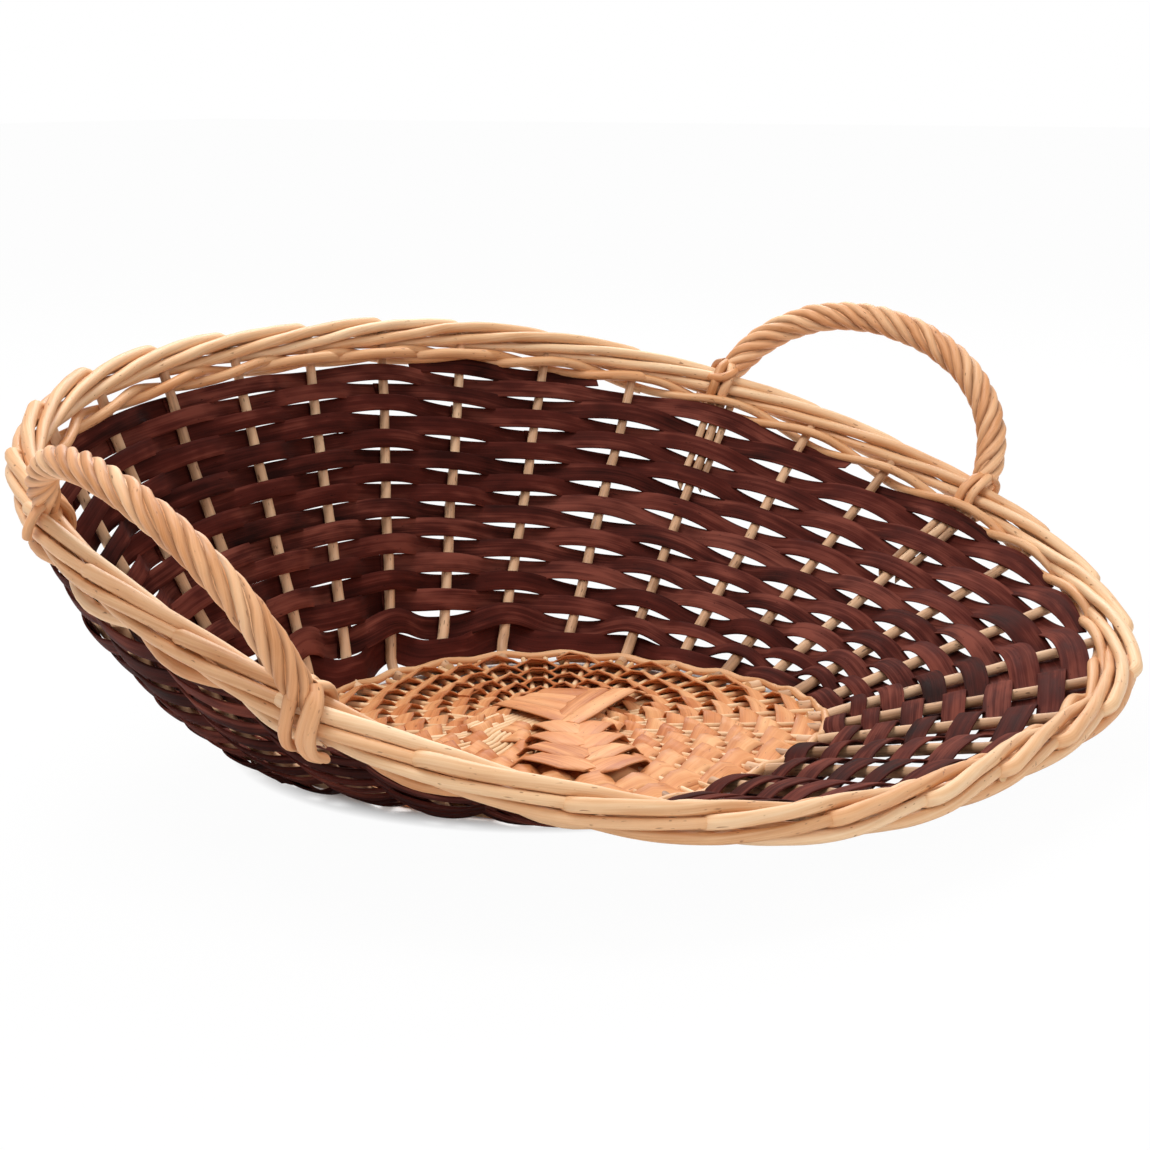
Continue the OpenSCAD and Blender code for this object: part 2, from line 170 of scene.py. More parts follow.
@dataclass
class BasketForm:
    """Sizes and paths that all pieces share, in millimetres.

    They are those of the part's source, but for the wall's swell and the wale's lift.
    """

    base_depth: float = 234.0
    base_width: float = 246.0
    base_square: float = 2.6
    base_edge_height: float = 4.5
    base_stick_d: float = 2.6
    edge_rod_d: float = 3.8
    border_depth: float = 400.0
    border_width: float = 500.0
    border_square: float = 2.4
    border_height: float = 96.0
    border_tilt: float = 18.5
    border_forward: float = 35.0
    border_rod_d: float = 5.2
    wale_rod_d: float = 4.8
    stake_d: float = 5.3
    stake_lean: float = 0.55
    row_gap: float = 0.6
    rear_foot: float = 57.0
    front_foot: float = 85.0
    handle_rise: float = 64.0
    handle_lean: float = 31.0
    handle_square: float = 2.1
    liner_d: float = 4.2
    liner_reach: float = 62.0
    weave_rows: int = 17
    base_rows: int = 9
    arm_sticks: int = 17
    border_strands: int = 5
    handle_strands: int = 4
    strip_span: int = 8
    clearance: float = 0.3
    stake_start: float = 0.41
    first_row: float = 3.0
    window_height: float = 4.0
    base_strip_t: float = 0.8
    hub_spread: float = 18.0
    edge_rod_inset: float = 2.8
    stick_tip: float = 2.2
    rope_seat: float = 1.9
    swells: tuple[Triple, ...] = ((12.2, 20.2, 6.0),)
    wale_lifts: tuple[Triple, ...] = ((2.2, 15.0, 4.5),)
    path_step: float = 0.5

    def __post_init__(self) -> None:
        """Works out the sizes that follow from the others, and the two outlines."""
        self.border_radius = (self.border_rod_d / 2 + (self.border_rod_d + self.clearance)
                              / (2 * math.sin(math.pi / self.border_strands)))
        wale_rise = self.wale_rod_d / 2 + self.clearance / 2
        wale_drop = self.border_radius + self.window_height + wale_rise + self.wale_rod_d / 2
        self.band_height = wale_drop + wale_rise + self.wale_rod_d / 2 + self.row_gap
        self.stick_pitch = self.base_stick_d + self.clearance
        self.spoke_count = 4 * self.arm_sticks
        self.base_mid = self.base_strip_t + self.clearance + self.base_stick_d / 2
        self.base_swing = self.base_stick_d / 2 + self.clearance + self.base_strip_t / 2
        self.hub_half = self.stick_pitch * self.arm_sticks / 2
        self.hub_reach = self.hub_half + self.hub_spread
        self.stick_inset = self.edge_rod_inset + self.edge_rod_d / 2 + self.clearance
        self.weave_inset = self.stick_inset + self.stick_tip
        self.base_pitch = (self.base_depth / 2 - self.weave_inset - self.hub_reach) / self.base_rows
        self.border_path = self._outline(self.border_depth, self.border_width, self.border_square)
        fall = math.tan(math.radians(self.border_tilt))
        self.border_path[:, 2] = self.border_height - fall * self.border_path[:, 0]
        self.border_path[:, 0] += self.border_forward
        self.base_path = self._outline(self.base_depth, self.base_width, self.base_square)
        self.base_path[:, 2] = self.base_edge_height
        top_room = float(self.room(np.arange(STAKES)).max())
        self.row_pitch = (top_room - self.first_row) / self.weave_rows
        self.strip_w = self.row_pitch - self.row_gap
        self.feet = {side: tuple(self._nearest_stake(side, x) for x in (-self.rear_foot, self.front_foot))
                     for side in Side}

    def _outline(self, depth: float, width: float, square: float) -> Array:
        """Closed superellipse in the ground plane.

        Args:
            depth: Size from front to back.
            width: Size from side to side.
            square: Power of the curve, 2 for an ellipse.

        Returns:
            Points of the outline.
        """
        angle = np.radians(np.arange(0, 360 + self.path_step / 2, self.path_step))
        c, s = np.cos(angle), np.sin(angle)
        x = depth / 2 * np.sign(c) * np.abs(c) ** (2 / square)
        y = width / 2 * np.sign(s) * np.abs(s) ** (2 / square)
        return np.stack([x, y, np.zeros_like(x)], 1)

    @staticmethod
    def _on(path: Array, place: Number, total: int) -> Array:
        """Points of a closed path at places along it, where the whole path is total long.

        Args:
            path: Points of the closed path.
            place: Places along it.
            total: Number of places in the whole path.

        Returns:
            One point for each place.
        """
        run = lengths(path)
        place = np.mod(place, total)
        return np.stack([np.interp(place, run * total / run[-1], path[:, k]) for k in range(3)], -1)

    def border_point(self, w: Number) -> Array:
        """Middle of the border."""
        return self._on(self.border_path, w + self.stake_start, STAKES)

    def base_point(self, w: Number) -> Array:
        """Foot of the wall, at places that lean round the base."""
        w = w + self.stake_start
        return self._on(self.base_path, w + self.stake_lean * np.cos(4 * math.pi * w / STAKES), STAKES)

    def spoke_edge(self, m: Number) -> Array:
        """Point of the base outline at places counted in base sticks."""
        return self._on(self.base_path, m, self.spoke_count)

    def slant(self, w: Number) -> Array:
        """Length of the wall from the base to the border's middle."""
        return np.linalg.norm(self.border_point(w) - self.base_point(w), axis=-1)

    def rising(self, w: Number) -> Array:
        """Direction up the wall, from its foot to its top."""
        return unit(self.border_point(w) - self.base_point(w))

    def wall_point(self, w: Number, v: Number) -> Array:
        """Point in the middle of the wall, v up from the base.

        Args:
            w: Places counted in stakes.
            v: Distances up the wall from the base.

        Returns:
            One point for each place.
        """
        rise = self.rising(w)
        way = self.base_point(w + 0.1) + self.border_point(w + 0.1)
        way = way - self.base_point(w - 0.1) - self.border_point(w - 0.1)
        share = np.clip(v / self.slant(w), 0.0, 1.0)
        swell = 4 * hills(w, self.swells) * share * (1 - share)
        return self.base_point(w) + rise * column(v) + unit(np.cross(way, rise)) * column(swell)

    def climb(self, w: Number, v: Number) -> Array:
        """Direction up the face of the wall at one height."""
        return unit(self.wall_point(w, v + 1.0) - self.wall_point(w, v - 1.0))

    def sideways(self, w: Number, v: Number) -> Array:
        """Direction round the wall."""
        return unit(self.wall_point(w + 0.1, v) - self.wall_point(w - 0.1, v))

    def outward(self, w: Number, v: Number) -> Array:
        """Direction square to the wall, away from the basket."""
        return unit(np.cross(self.sideways(w, v), self.climb(w, v)))

    def room(self, w: Number) -> Array:
        """Height of wall left for the woven strips."""
        return self.slant(w) - self.band_height

    def wale_place(self, w: Number, drop: float) -> Array:
        """Height up the wall of a wale that runs a drop below the border, and nearer at the back."""
        return self.slant(w) - drop + hills(w, self.wale_lifts)

    def rim_frame(self, w: Number) -> tuple[Array, Array]:
        """Directions square to the border: up from the plane of the rim, and away from the basket.

        Args:
            w: Places counted in stakes.

        Returns:
            The two directions at each place.
        """
        way = unit(self.border_point(w + 0.1) - self.border_point(w - 0.1))
        tilt = math.radians(self.border_tilt)
        up = np.broadcast_to(np.array([math.sin(tilt), 0.0, math.cos(tilt)]), way.shape)
        return up, unit(np.cross(way, up))

    def inset_share(self, inset: float) -> float:
        """Scale of the base outline that lies inset from its edge."""
        return 1 - 2 * inset / self.base_depth

    def row_middle(self, row: float) -> float:
        """Height up the wall of a woven row's middle."""
        return self.first_row + (row - 0.5) * self.row_pitch

    def fits(self, row: int, stake: int) -> bool:
        """Whether a row has room under the border at a stake."""
        return float(self.room(stake)) >= self.row_middle(row) + self.strip_w / 2 - self.row_gap

    def _nearest_stake(self, side: Side, x: float) -> int:
        """The stake on one side that stands nearest to a handle's foot.

        Args:
            side: Side of the basket.
            x: Place of the foot from back to front.

        Returns:
            Number of the stake.
        """
        p = self.border_point(np.arange(STAKES))
        gap = np.abs(p[:, 0] - x) + np.where(np.sign(p[:, 1]) == side.value, 0, 1000)
        return int(np.argmin(gap))


# Straight stock and the strands bent from it


@dataclass
class Blank:
    """A straight length of stock: a unit cross-section carried through numbered rings."""

    ring: Array
    x: Array
    y: Array
    inner: Array
    totals: Array
    corners: Array


def span(edge: bmesh.types.BMEdge, axis: int) -> float:
    """How far an edge reaches along one axis."""
    return abs(edge.verts[0].co[axis] - edge.verts[1].co[axis])


class Stock:
    """Straight rods and strips, modelled once for each count of rings and copied from then on."""

    def __init__(self) -> None:
        """Starts with an empty shelf."""
        self._kept: dict[tuple[int, int], Blank] = {}

    def blank(self, rings: int, sides: int) -> Blank:
        """A length of stock, modelled when it is first asked for.

        Args:
            rings: Number of rings along it, ends included.
            sides: Faces round a rod, or 0 for a flat strip.

        Returns:
            The blank, of radius one, or of half width one and half thickness one.
        """
        if (rings, sides) not in self._kept:
            bpy.ops.object.select_all(action="DESELECT")
            if sides:
                self._model_rod(rings, sides)
            else:
                self._model_strip(rings)
            self._kept[rings, sides] = self._take(rings)
        return self._kept[rings, sides]

    def _model_rod(self, rings: int, sides: int) -> None:
        """A round rod with an inner ring on each end, for the pith.

        Args:
            rings: Number of rings along it, ends included.
            sides: Faces round it.
        """
        bpy.ops.mesh.primitive_cylinder_add(vertices=sides, radius=1, depth=2, end_fill_type="NGON")
        self._cut_rings(rings)
        self._select("FACE", lambda face: abs(face.normal.z) > 0.9)
        bpy.ops.mesh.inset(thickness=0.3)

    def _model_strip(self, rings: int) -> None:
        """A flat strip with eased edges, bevelled while it is thin so that the bevel comes out wide.

        Args:
            rings: Number of rings along it, ends included.
        """
        bpy.ops.mesh.primitive_cube_add(size=2)
        self._cut_rings(rings)
        self._select("EDGE", lambda edge: span(edge, 0) > 1.9)
        bpy.ops.mesh.subdivide(number_cuts=3)
        bpy.ops.mesh.select_all(action="SELECT")
        bpy.ops.transform.resize(value=(1, 0.125, 1))
        self._select("EDGE", lambda edge: span(edge, 2) > 1e-4 and abs(edge.verts[0].co.x) > 0.99
                     and abs(edge.verts[0].co.y) > 0.12)
        bpy.ops.mesh.bevel(offset=0.045, segments=1, affect="EDGES")
        bpy.ops.mesh.select_all(action="SELECT")
        bpy.ops.transform.resize(value=(1, 8, 1))

    @staticmethod
    def _select(kind: str, wanted: Callable) -> None:
        """Selects the edges or faces that pass a test, and nothing else.

        Args:
            kind: EDGE or FACE.
            wanted: The test.
        """
        bpy.ops.mesh.select_mode(type=kind)
        bpy.ops.mesh.select_all(action="DESELECT")
        mesh = bpy.context.object.data
        work = bmesh.from_edit_mesh(mesh)
        for item in work.edges if kind == "EDGE" else work.faces:
            item.select_set(wanted(item))
        bmesh.update_edit_mesh(mesh)

    def _cut_rings(self, rings: int) -> None:
        """Goes into edit mode and cuts the long edges into rings.

        Args:
            rings: Number of rings along it, ends included.
        """
        bpy.ops.object.mode_set(mode="EDIT")
        self._select("EDGE", lambda edge: span(edge, 2) > 1.9)
        bpy.ops.mesh.subdivide(number_cuts=rings - 2)

    @staticmethod
    def _take(rings: int) -> Blank:
        """Leaves edit mode and reads the shape of the active object, which is then removed.

        Args:
            rings: Number of rings along it, ends included.

        Returns:
            The blank.
        """
        bpy.ops.object.mode_set(mode="OBJECT")
        obj = bpy.context.object
        mesh = obj.data
        co = np.empty(len(mesh.vertices) * 3)
        mesh.vertices.foreach_get("co", co)
        co = co.reshape(-1, 3)
        totals = np.empty(len(mesh.polygons), dtype=np.int32)
        mesh.polygons.foreach_get("loop_total", totals)
        corners = np.empty(len(mesh.loops), dtype=np.int32)
        mesh.loops.foreach_get("vertex_index", corners)
        ring = np.rint((co[:, 2] + 1) / 2 * (rings - 1)).astype(int)
        inner = (np.hypot(co[:, 0], co[:, 1]) < 0.9).astype(float)
        blank = Blank(ring, co[:, 0].copy(), co[:, 1].copy(), inner, totals, corners)
        bpy.data.objects.remove(obj, do_unlink=True)
        bpy.data.meshes.remove(mesh)
        return blank


@dataclass
class Strand:
    """One rod or strip laid along a path.

    The side directions give the way its width lies. Cuts are slopes of its two ends: how far the
    end leans along the strand for each millimetre across it. Sides are the faces round a rod, or
    0 for a flat strip. Edge is how much painted shade darkens the strand's two edges, where the
    creases between strands would be shaded.
    """

    path: Array
    side: Array
    half_width: Number
    half_thick: Number
    cup: Number = 0.0
    tone: float = 0.5
    tint: float = 0.5
    cuts: tuple[float, float] = (0.0, 0.0)
    sides: int = 12
    edge: float = 0.0


class Bundle:
    """Strands gathered into one piece, which stands for one node of the part."""

    def __init__(self, node: str, finish: "WillowFinish", stock: Stock, seed: int) -> None:
        """Starts an empty piece.

        Args:
            node: Name of the CAD node whose place it takes.
            finish: Its willow.
            stock: The blanks it is bent from.
            seed: Start of its random draws.
        """
        self.node = node
        self.willow = finish
        self.stock = stock
        self.parts: list[tuple[Array, ...]] = []
        self.count = 0
        self.offset = 0.0
        self.seed(seed)

    def seed(self, seed: int) -> None:
        """Starts the piece's random draws afresh."""
        self.rng = np.random.default_rng(seed)

    def wander(self, x: Array, length: float, amount: float) -> Array:
        """Slow waver along a rod.

        Args:
            x: Places along the rod.
            length: Longest wave, in the units of x.
            amount: Size of the waver.

        Returns:
            One offset for each place.
        """
        total = np.zeros_like(x, dtype=float)
        for share, shorter in ((0.6, 1.0), (0.3, 0.47), (0.18, 0.21)):
            phase = self.rng.uniform(0, 2 * math.pi)
            total += share * np.sin(2 * math.pi * x / (length * shorter) + phase)
        return total * amount

    def lay(self, path: Array, side: Array, half: Number, thick: Number | None = None,
            ragged: tuple[float, float] = (0.0, 0.0), tint_power: float = 1.0, **more: object) -> None:
        """Adds a strand whose shades, and ragged ends if it has them, are drawn.

        Args:
            path: Points of the strand's middle.
            side: Directions of its width.
            half: Half its width.
            thick: Half its thickness, or None for a round rod.
            ragged: Steepest slopes of its two ends, or 0 where an end isn't drawn.
            tint_power: Power that keeps most tints low.
            more: Further fields of the strand.
        """
        tone, tint = self.rng.uniform(), self.rng.uniform() ** tint_power
        if any(ragged):
            more["cuts"] = tuple(self.rng.uniform(-most, most) if most else 0.0 for most in ragged)
        self.add(Strand(path, side, half, half if thick is None else thick, tone=tone, tint=tint, **more))

    def add(self, strand: Strand) -> None:
        """Bends a blank along the strand's path and keeps its points and faces.

        Args:
            strand: The strand.
        """
        rings = len(strand.path)
        blank = self.stock.blank(rings, strand.sides)
        along = unit(np.gradient(strand.path, axis=0))
        side = np.broadcast_to(strand.side, strand.path.shape)
        side = unit(side - along * np.sum(side * along, 1, keepdims=True))
        up = np.cross(along, side)
        wide, thick, cup = (np.broadcast_to(size, rings)
                            for size in (strand.half_width, strand.half_thick, strand.cup))
        run = lengths(strand.path)
        k = blank.ring
        x = blank.x * wide[k]
        y = blank.y * thick[k] + cup[k] * (1 - blank.x ** 2)
        shift = np.zeros(len(k))
        for slope, gone in ((strand.cuts[0], run), (strand.cuts[1], run[-1] - run)):
            if slope:
                reach = CUT_REACH * abs(slope) * float(wide.max())
                shift += slope * x * np.clip(1 - gone[k] / reach, 0, 1)
        points = strand.path[k] + side[k] * x[:, None] + up[k] * y[:, None] + along[k] * shift[:, None]
        at_end = ((k == 0) | (k == rings - 1)) & (blank.inner > 0)
        grain = np.stack([run[k] + shift + self.offset, blank.x * wide[k], blank.y * thick[k]], 1)
        # Pith colour on the cut ends, and painted shade along the strand's edges where the creases between
        # strands would be shaded.
        pith_and_painted_shade = np.maximum(at_end * 1.0, strand.edge * np.clip(3.2 * np.abs(blank.x) - 2.2, 0, 1))
        shade = np.stack([np.full(len(k), strand.tone), np.full(len(k), strand.tint), pith_and_painted_shade], 1)
        self.parts.append((points, grain, shade, blank.totals, blank.corners + self.count))
        self.count += len(k)
        self.offset += run[-1] + GRAIN_STEP

    def finish(self) -> None:
        """Makes the piece's object, which rides on the basket and replaces its node."""
        points, grain, shade, totals, corners = (np.concatenate(rows) for rows in zip(*self.parts))
        mesh = bpy.data.meshes.new(self.node + "_willow")
        mesh.vertices.add(len(points))
        mesh.vertices.foreach_set("co", (points * MM).ravel())
        mesh.loops.add(len(corners))
        mesh.loops.foreach_set("vertex_index", corners)
        mesh.polygons.add(len(totals))
        mesh.polygons.foreach_set("loop_start", np.r_[0, np.cumsum(totals)[:-1]].astype(np.int32))
        mesh.update(calc_edges=True)
        for name, rows in (("grain", grain * MM), ("shade", shade)):
            layer = mesh.attributes.new(name, "FLOAT_VECTOR", "POINT")
            layer.data.foreach_set("vector", rows.ravel())
        mesh.materials.append(self.willow.material())
        obj = bpy.data.objects.new(self.node + "_willow", mesh)
        bpy.context.scene.collection.objects.link(obj)
        bpy.ops.object.select_all(action="DESELECT")
        obj.select_set(True)
        bpy.context.view_layer.objects.active = obj
        bpy.ops.object.shade_smooth_by_angle(angle=SMOOTH_ANGLE)
        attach(obj, "root")
        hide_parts(self.node)
        LOG.info("%s: %d strands, %d points", obj.name, len(self.parts), self.count)


# Finishes


def linear(colour: Triple) -> tuple[float, float, float, float]:
    """Colour of 0 to 255 display values as linear light."""
    parts = [c / 255 for c in colour]
    return (*[c / 12.92 if c <= 0.04045 else ((c + 0.055) / 1.055) ** 2.4 for c in parts], 1.0)


def fill(node: bpy.types.Node, inputs: dict[int | str, Feed]) -> bpy.types.Node:
    """Fills inputs, known by number or name, with values or other nodes' outputs.

    Args:
        node: The node.
        inputs: What its inputs are fed with, by number or name.

    Returns:
        The same node.
    """
    for key, value in inputs.items():
        socket = node.inputs[key]
        if isinstance(value, Socket):
            node.id_data.links.new(value, socket)
        else:
            socket.default_value = value
    return node


class Sheet:
    """A node tree with short calls for adding nodes."""

    def __init__(self, tree: bpy.types.NodeTree) -> None:
        """Works on one tree."""
        self.tree = tree

    def node(self, kind: str, inputs: dict[int | str, Feed] | None = None,
             **settings: object) -> bpy.types.Node:
        """A new node with some of its settings and inputs given.

        Args:
            kind: Kind of shader node.
            inputs: What its inputs are fed with, by number or name.
            settings: Settings of the node.

        Returns:
            The node.
        """
        node = self.tree.nodes.new("ShaderNode" + kind)
        for name, value in settings.items():
            setattr(node, name, value)
        return fill(node, inputs or {})

    def maths(self, operation: str, a: Feed, b: Feed, clamp: bool = False) -> Socket:
        """Result of a sum on two numbers."""
        return self.node("Math", {0: a, 1: b}, operation=operation, use_clamp=clamp).outputs[0]

    def times(self, a: Feed, b: Feed) -> Socket:
        """Product of two numbers."""
        return self.maths("MULTIPLY", a, b)

    def swing(self, value: Feed, amount: float) -> Socket:
        """How far a number lies from a half, times an amount."""
        return self.times(self.maths("SUBTRACT", value, 0.5), amount)

    def noise(self, vector: Socket, scale: Triple, detail: float, rough: float) -> Socket:
        """Noise at a vector whose three parts are scaled.

        Args:
            vector: Place on the willow.
            scale: How fine it is in each direction.
            detail: Number of finer layers.
            rough: Weight of the finer layers.

        Returns:
            The noise, from 0 to 1.
        """
        place = self.node("VectorMath", {0: vector, 1: scale}, operation="MULTIPLY").outputs[0]
        inputs = {"Vector": place, "Scale": 1.0, "Detail": detail, "Roughness": rough}
        return self.node("TexNoise", inputs, noise_dimensions="3D").outputs[0]

    def spread(self, value: Feed, low: float, high: float, first: float = 0.0, last: float = 1.0) -> Socket:
        """A number stretched so that low becomes the first value and high the last."""
        return self.node("MapRange", {0: value, 1: low, 2: high, 3: first, 4: last}).outputs[0]

    def blend(self, share: Feed, a: Feed, b: Feed) -> Socket:
        """Colour a turning to colour b."""
        return self.node("Mix", {0: share, 6: a, 7: b}, data_type="RGBA", clamp_factor=True).outputs[2]


def grain_group() -> bpy.types.NodeTree:
    """Shared pattern of split and peeled willow, which runs along each strand.

    Returns:
        The node group, made when it is first asked for: streaks, blotches, specks and height.
    """
    kept = bpy.data.node_groups.get("willow_grain")
    if kept:
        return kept
    tree = bpy.data.node_groups.new("willow_grain", "ShaderNodeTree")
    for name, kind in (("Grain", "Vector"), ("Speck Share", "Float")):
        tree.interface.new_socket(name, in_out="INPUT", socket_type="NodeSocket" + kind)
    for name in ("Streak", "Blotch", "Speck", "Height"):
        tree.interface.new_socket(name, in_out="OUTPUT", socket_type="NodeSocketFloat")
    sheet = Sheet(tree)
    given = tree.nodes.new("NodeGroupInput").outputs
    fine, broad, blotch, flecks = (
        sheet.noise(given["Grain"], scale, detail, rough) for scale, detail, rough in (
            ((26.0, 1500.0, 1500.0), 3.0, 0.6), ((9.0, 420.0, 420.0), 2.0, 0.5),
            ((34.0, 110.0, 110.0), 2.0, 0.55), ((240.0, 900.0, 900.0), 1.0, 0.5)))
    streak = sheet.maths("ADD", sheet.times(fine, 0.5), sheet.times(broad, 0.5))
    limit = sheet.maths("SUBTRACT", 0.8, given["Speck Share"])
    fleck = sheet.maths("MULTIPLY", sheet.maths("SUBTRACT", flecks, limit), 14.0, clamp=True)
    height = sheet.maths("ADD", sheet.times(fine, 0.7), sheet.times(broad, 0.6))
    height = sheet.maths("SUBTRACT", height, sheet.times(fleck, 0.35))
    fill(tree.nodes.new("NodeGroupOutput"),
         {"Streak": streak, "Blotch": blotch, "Speck": fleck, "Height": height})
    return tree


@dataclass(frozen=True)
class WillowFinish:
    """One kind of willow surface: colours, specks, gloss and relief, for one slot."""

    name: str
    slot: Slot
    dark: Triple
    middle: Triple
    light: Triple
    warm: Triple
    speck: Triple
    # Colour of the cut ends' pith, also used as painted shade along strand edges where the creases would be
    # shaded.
    pith_and_painted_shade_colour: Triple
    speck_share: float = 0.1
    streaking: float = 1.2
    blotching: float = 0.7
    variety: float = 0.5
    warmth: float = 0.35
    roughness: tuple[float, float] = (0.42, 0.6)
    gloss: float = 0.35
    relief: float = 0.35
    depth: float = 0.0004

    def material(self) -> bpy.types.Material:
        """The finish as a material, made when it is first asked for."""
        return bpy.data.materials.get(self.name) or self._make()

    def _make(self) -> bpy.types.Material:
        """Builds the material round the shared grain.

        Returns:
            The material.
        """
        made = bpy.data.materials.new(self.name)
        made.use_nodes = True
        sheet = Sheet(made.node_tree)
        grain, shade = (sheet.node("Attribute", attribute_name=name).outputs["Vector"]
                        for name in ("grain", "shade"))
        tone, tint, pith_and_painted_shade = sheet.node("SeparateXYZ", {0: shade}).outputs
        group = sheet.node("Group", {"Grain": grain, "Speck Share": self.speck_share},
                           node_tree=grain_group()).outputs
        mottle = sheet.maths("ADD", sheet.swing(group["Streak"], self.streaking),
                             sheet.swing(group["Blotch"], self.blotching))
        level = sheet.maths("ADD", mottle, sheet.maths("ADD", sheet.swing(tone, self.variety), 0.5))
        ramp = sheet.node("ValToRGB", {0: level})
        ramp.color_ramp.elements.new(0.5)
        for stop, colour in zip(ramp.color_ramp.elements, (self.dark, self.middle, self.light)):
            stop.color = linear(colour)
        ramp.color_ramp.elements[0].position = 0.08
        ramp.color_ramp.elements[2].position = 0.92
        colour = sheet.blend(sheet.times(tint, self.warmth), ramp.outputs[0], linear(self.warm))
        colour = sheet.blend(sheet.times(group["Speck"], 0.8), colour, linear(self.speck))
        relief = {"Strength": self.relief, "Distance": self.depth, "Height": group["Height"]}
        fill(made.node_tree.nodes["Principled BSDF"], {
            # Mixes in the pith colour at the cut ends and, along strand edges, as painted crease shade.
            "Base Color": sheet.blend(pith_and_painted_shade, colour, linear(self.pith_and_painted_shade_colour)),
            "Roughness": sheet.spread(group["Blotch"], 0.3, 0.7, *self.roughness),
            "Normal": sheet.node("Bump", relief).outputs[0], "Specular IOR Level": self.gloss})
        return made


BORDER_WILLOW = WillowFinish(
    "border_willow", Slot.BORDER_ROD, dark=(198, 136, 84), middle=(228, 182, 136), light=(244, 212, 172),
    warm=(220, 148, 90), speck=(140, 88, 48), pith_and_painted_shade_colour=(214, 170, 122), gloss=0.5)
# The handle's dark pith colour is mostly painted shade along the rope's creases and the bands' edges; it also
# colours their cut ends.
HANDLE_WILLOW = WillowFinish(
    "handle_willow", Slot.HANDLE_ROD, dark=(190, 126, 74), middle=(230, 174, 126), light=(244, 202, 158),
    warm=(214, 138, 80), speck=(130, 80, 42), pith_and_painted_shade_colour=(120, 78, 48), variety=0.6, gloss=0.45)
STAKE_WILLOW = WillowFinish(
    "stake_willow", Slot.STAKE, dark=(142, 104, 74), middle=(208, 165, 128), light=(230, 192, 154),
    warm=(190, 138, 96), speck=(104, 74, 48), pith_and_painted_shade_colour=(214, 180, 132), blotching=1.4, speck_share=0.14)
# The base's pith colour is painted shade along the strips' edges, and also the colour of their cut ends.
BASE_WILLOW = WillowFinish(
    "base_willow", Slot.BASE_STRIP, dark=(178, 102, 54), middle=(220, 151, 98), light=(240, 184, 132),
    warm=(210, 126, 72), speck=(156, 88, 48), pith_and_painted_shade_colour=(160, 88, 46), streaking=1.4, blotching=1.1, gloss=0.22)
BASE_STICK_WILLOW = WillowFinish(
    "base_stick_willow", Slot.BASE_STICK, dark=(200, 148, 100), middle=(232, 192, 146),
    light=(246, 214, 174), warm=(218, 162, 108), speck=(160, 108, 64), pith_and_painted_shade_colour=(226, 190, 142))
DARK_WILLOW = WillowFinish(
    "dark_willow", Slot.DARK_STRIP, dark=(24, 6, 4), middle=(73, 31, 25), light=(126, 68, 56),
    warm=(88, 32, 24), speck=(30, 10, 8), pith_and_painted_shade_colour=(130, 80, 60), speck_share=0.06, streaking=1.3,
    blotching=1.5, roughness=(0.6, 0.8), gloss=0.05, relief=0.45)


@dataclass
class Part:
    """What every sub-assembly works with: the basket's form and the stock."""

    form: BasketForm
    stock: Stock

    def bundle(self, node: str, finish: WillowFinish, seed: int = 0) -> Bundle:
        """An empty piece that will stand for a node, with its own random draws."""
        return Bundle(node, finish, self.stock, seed)


# Wall


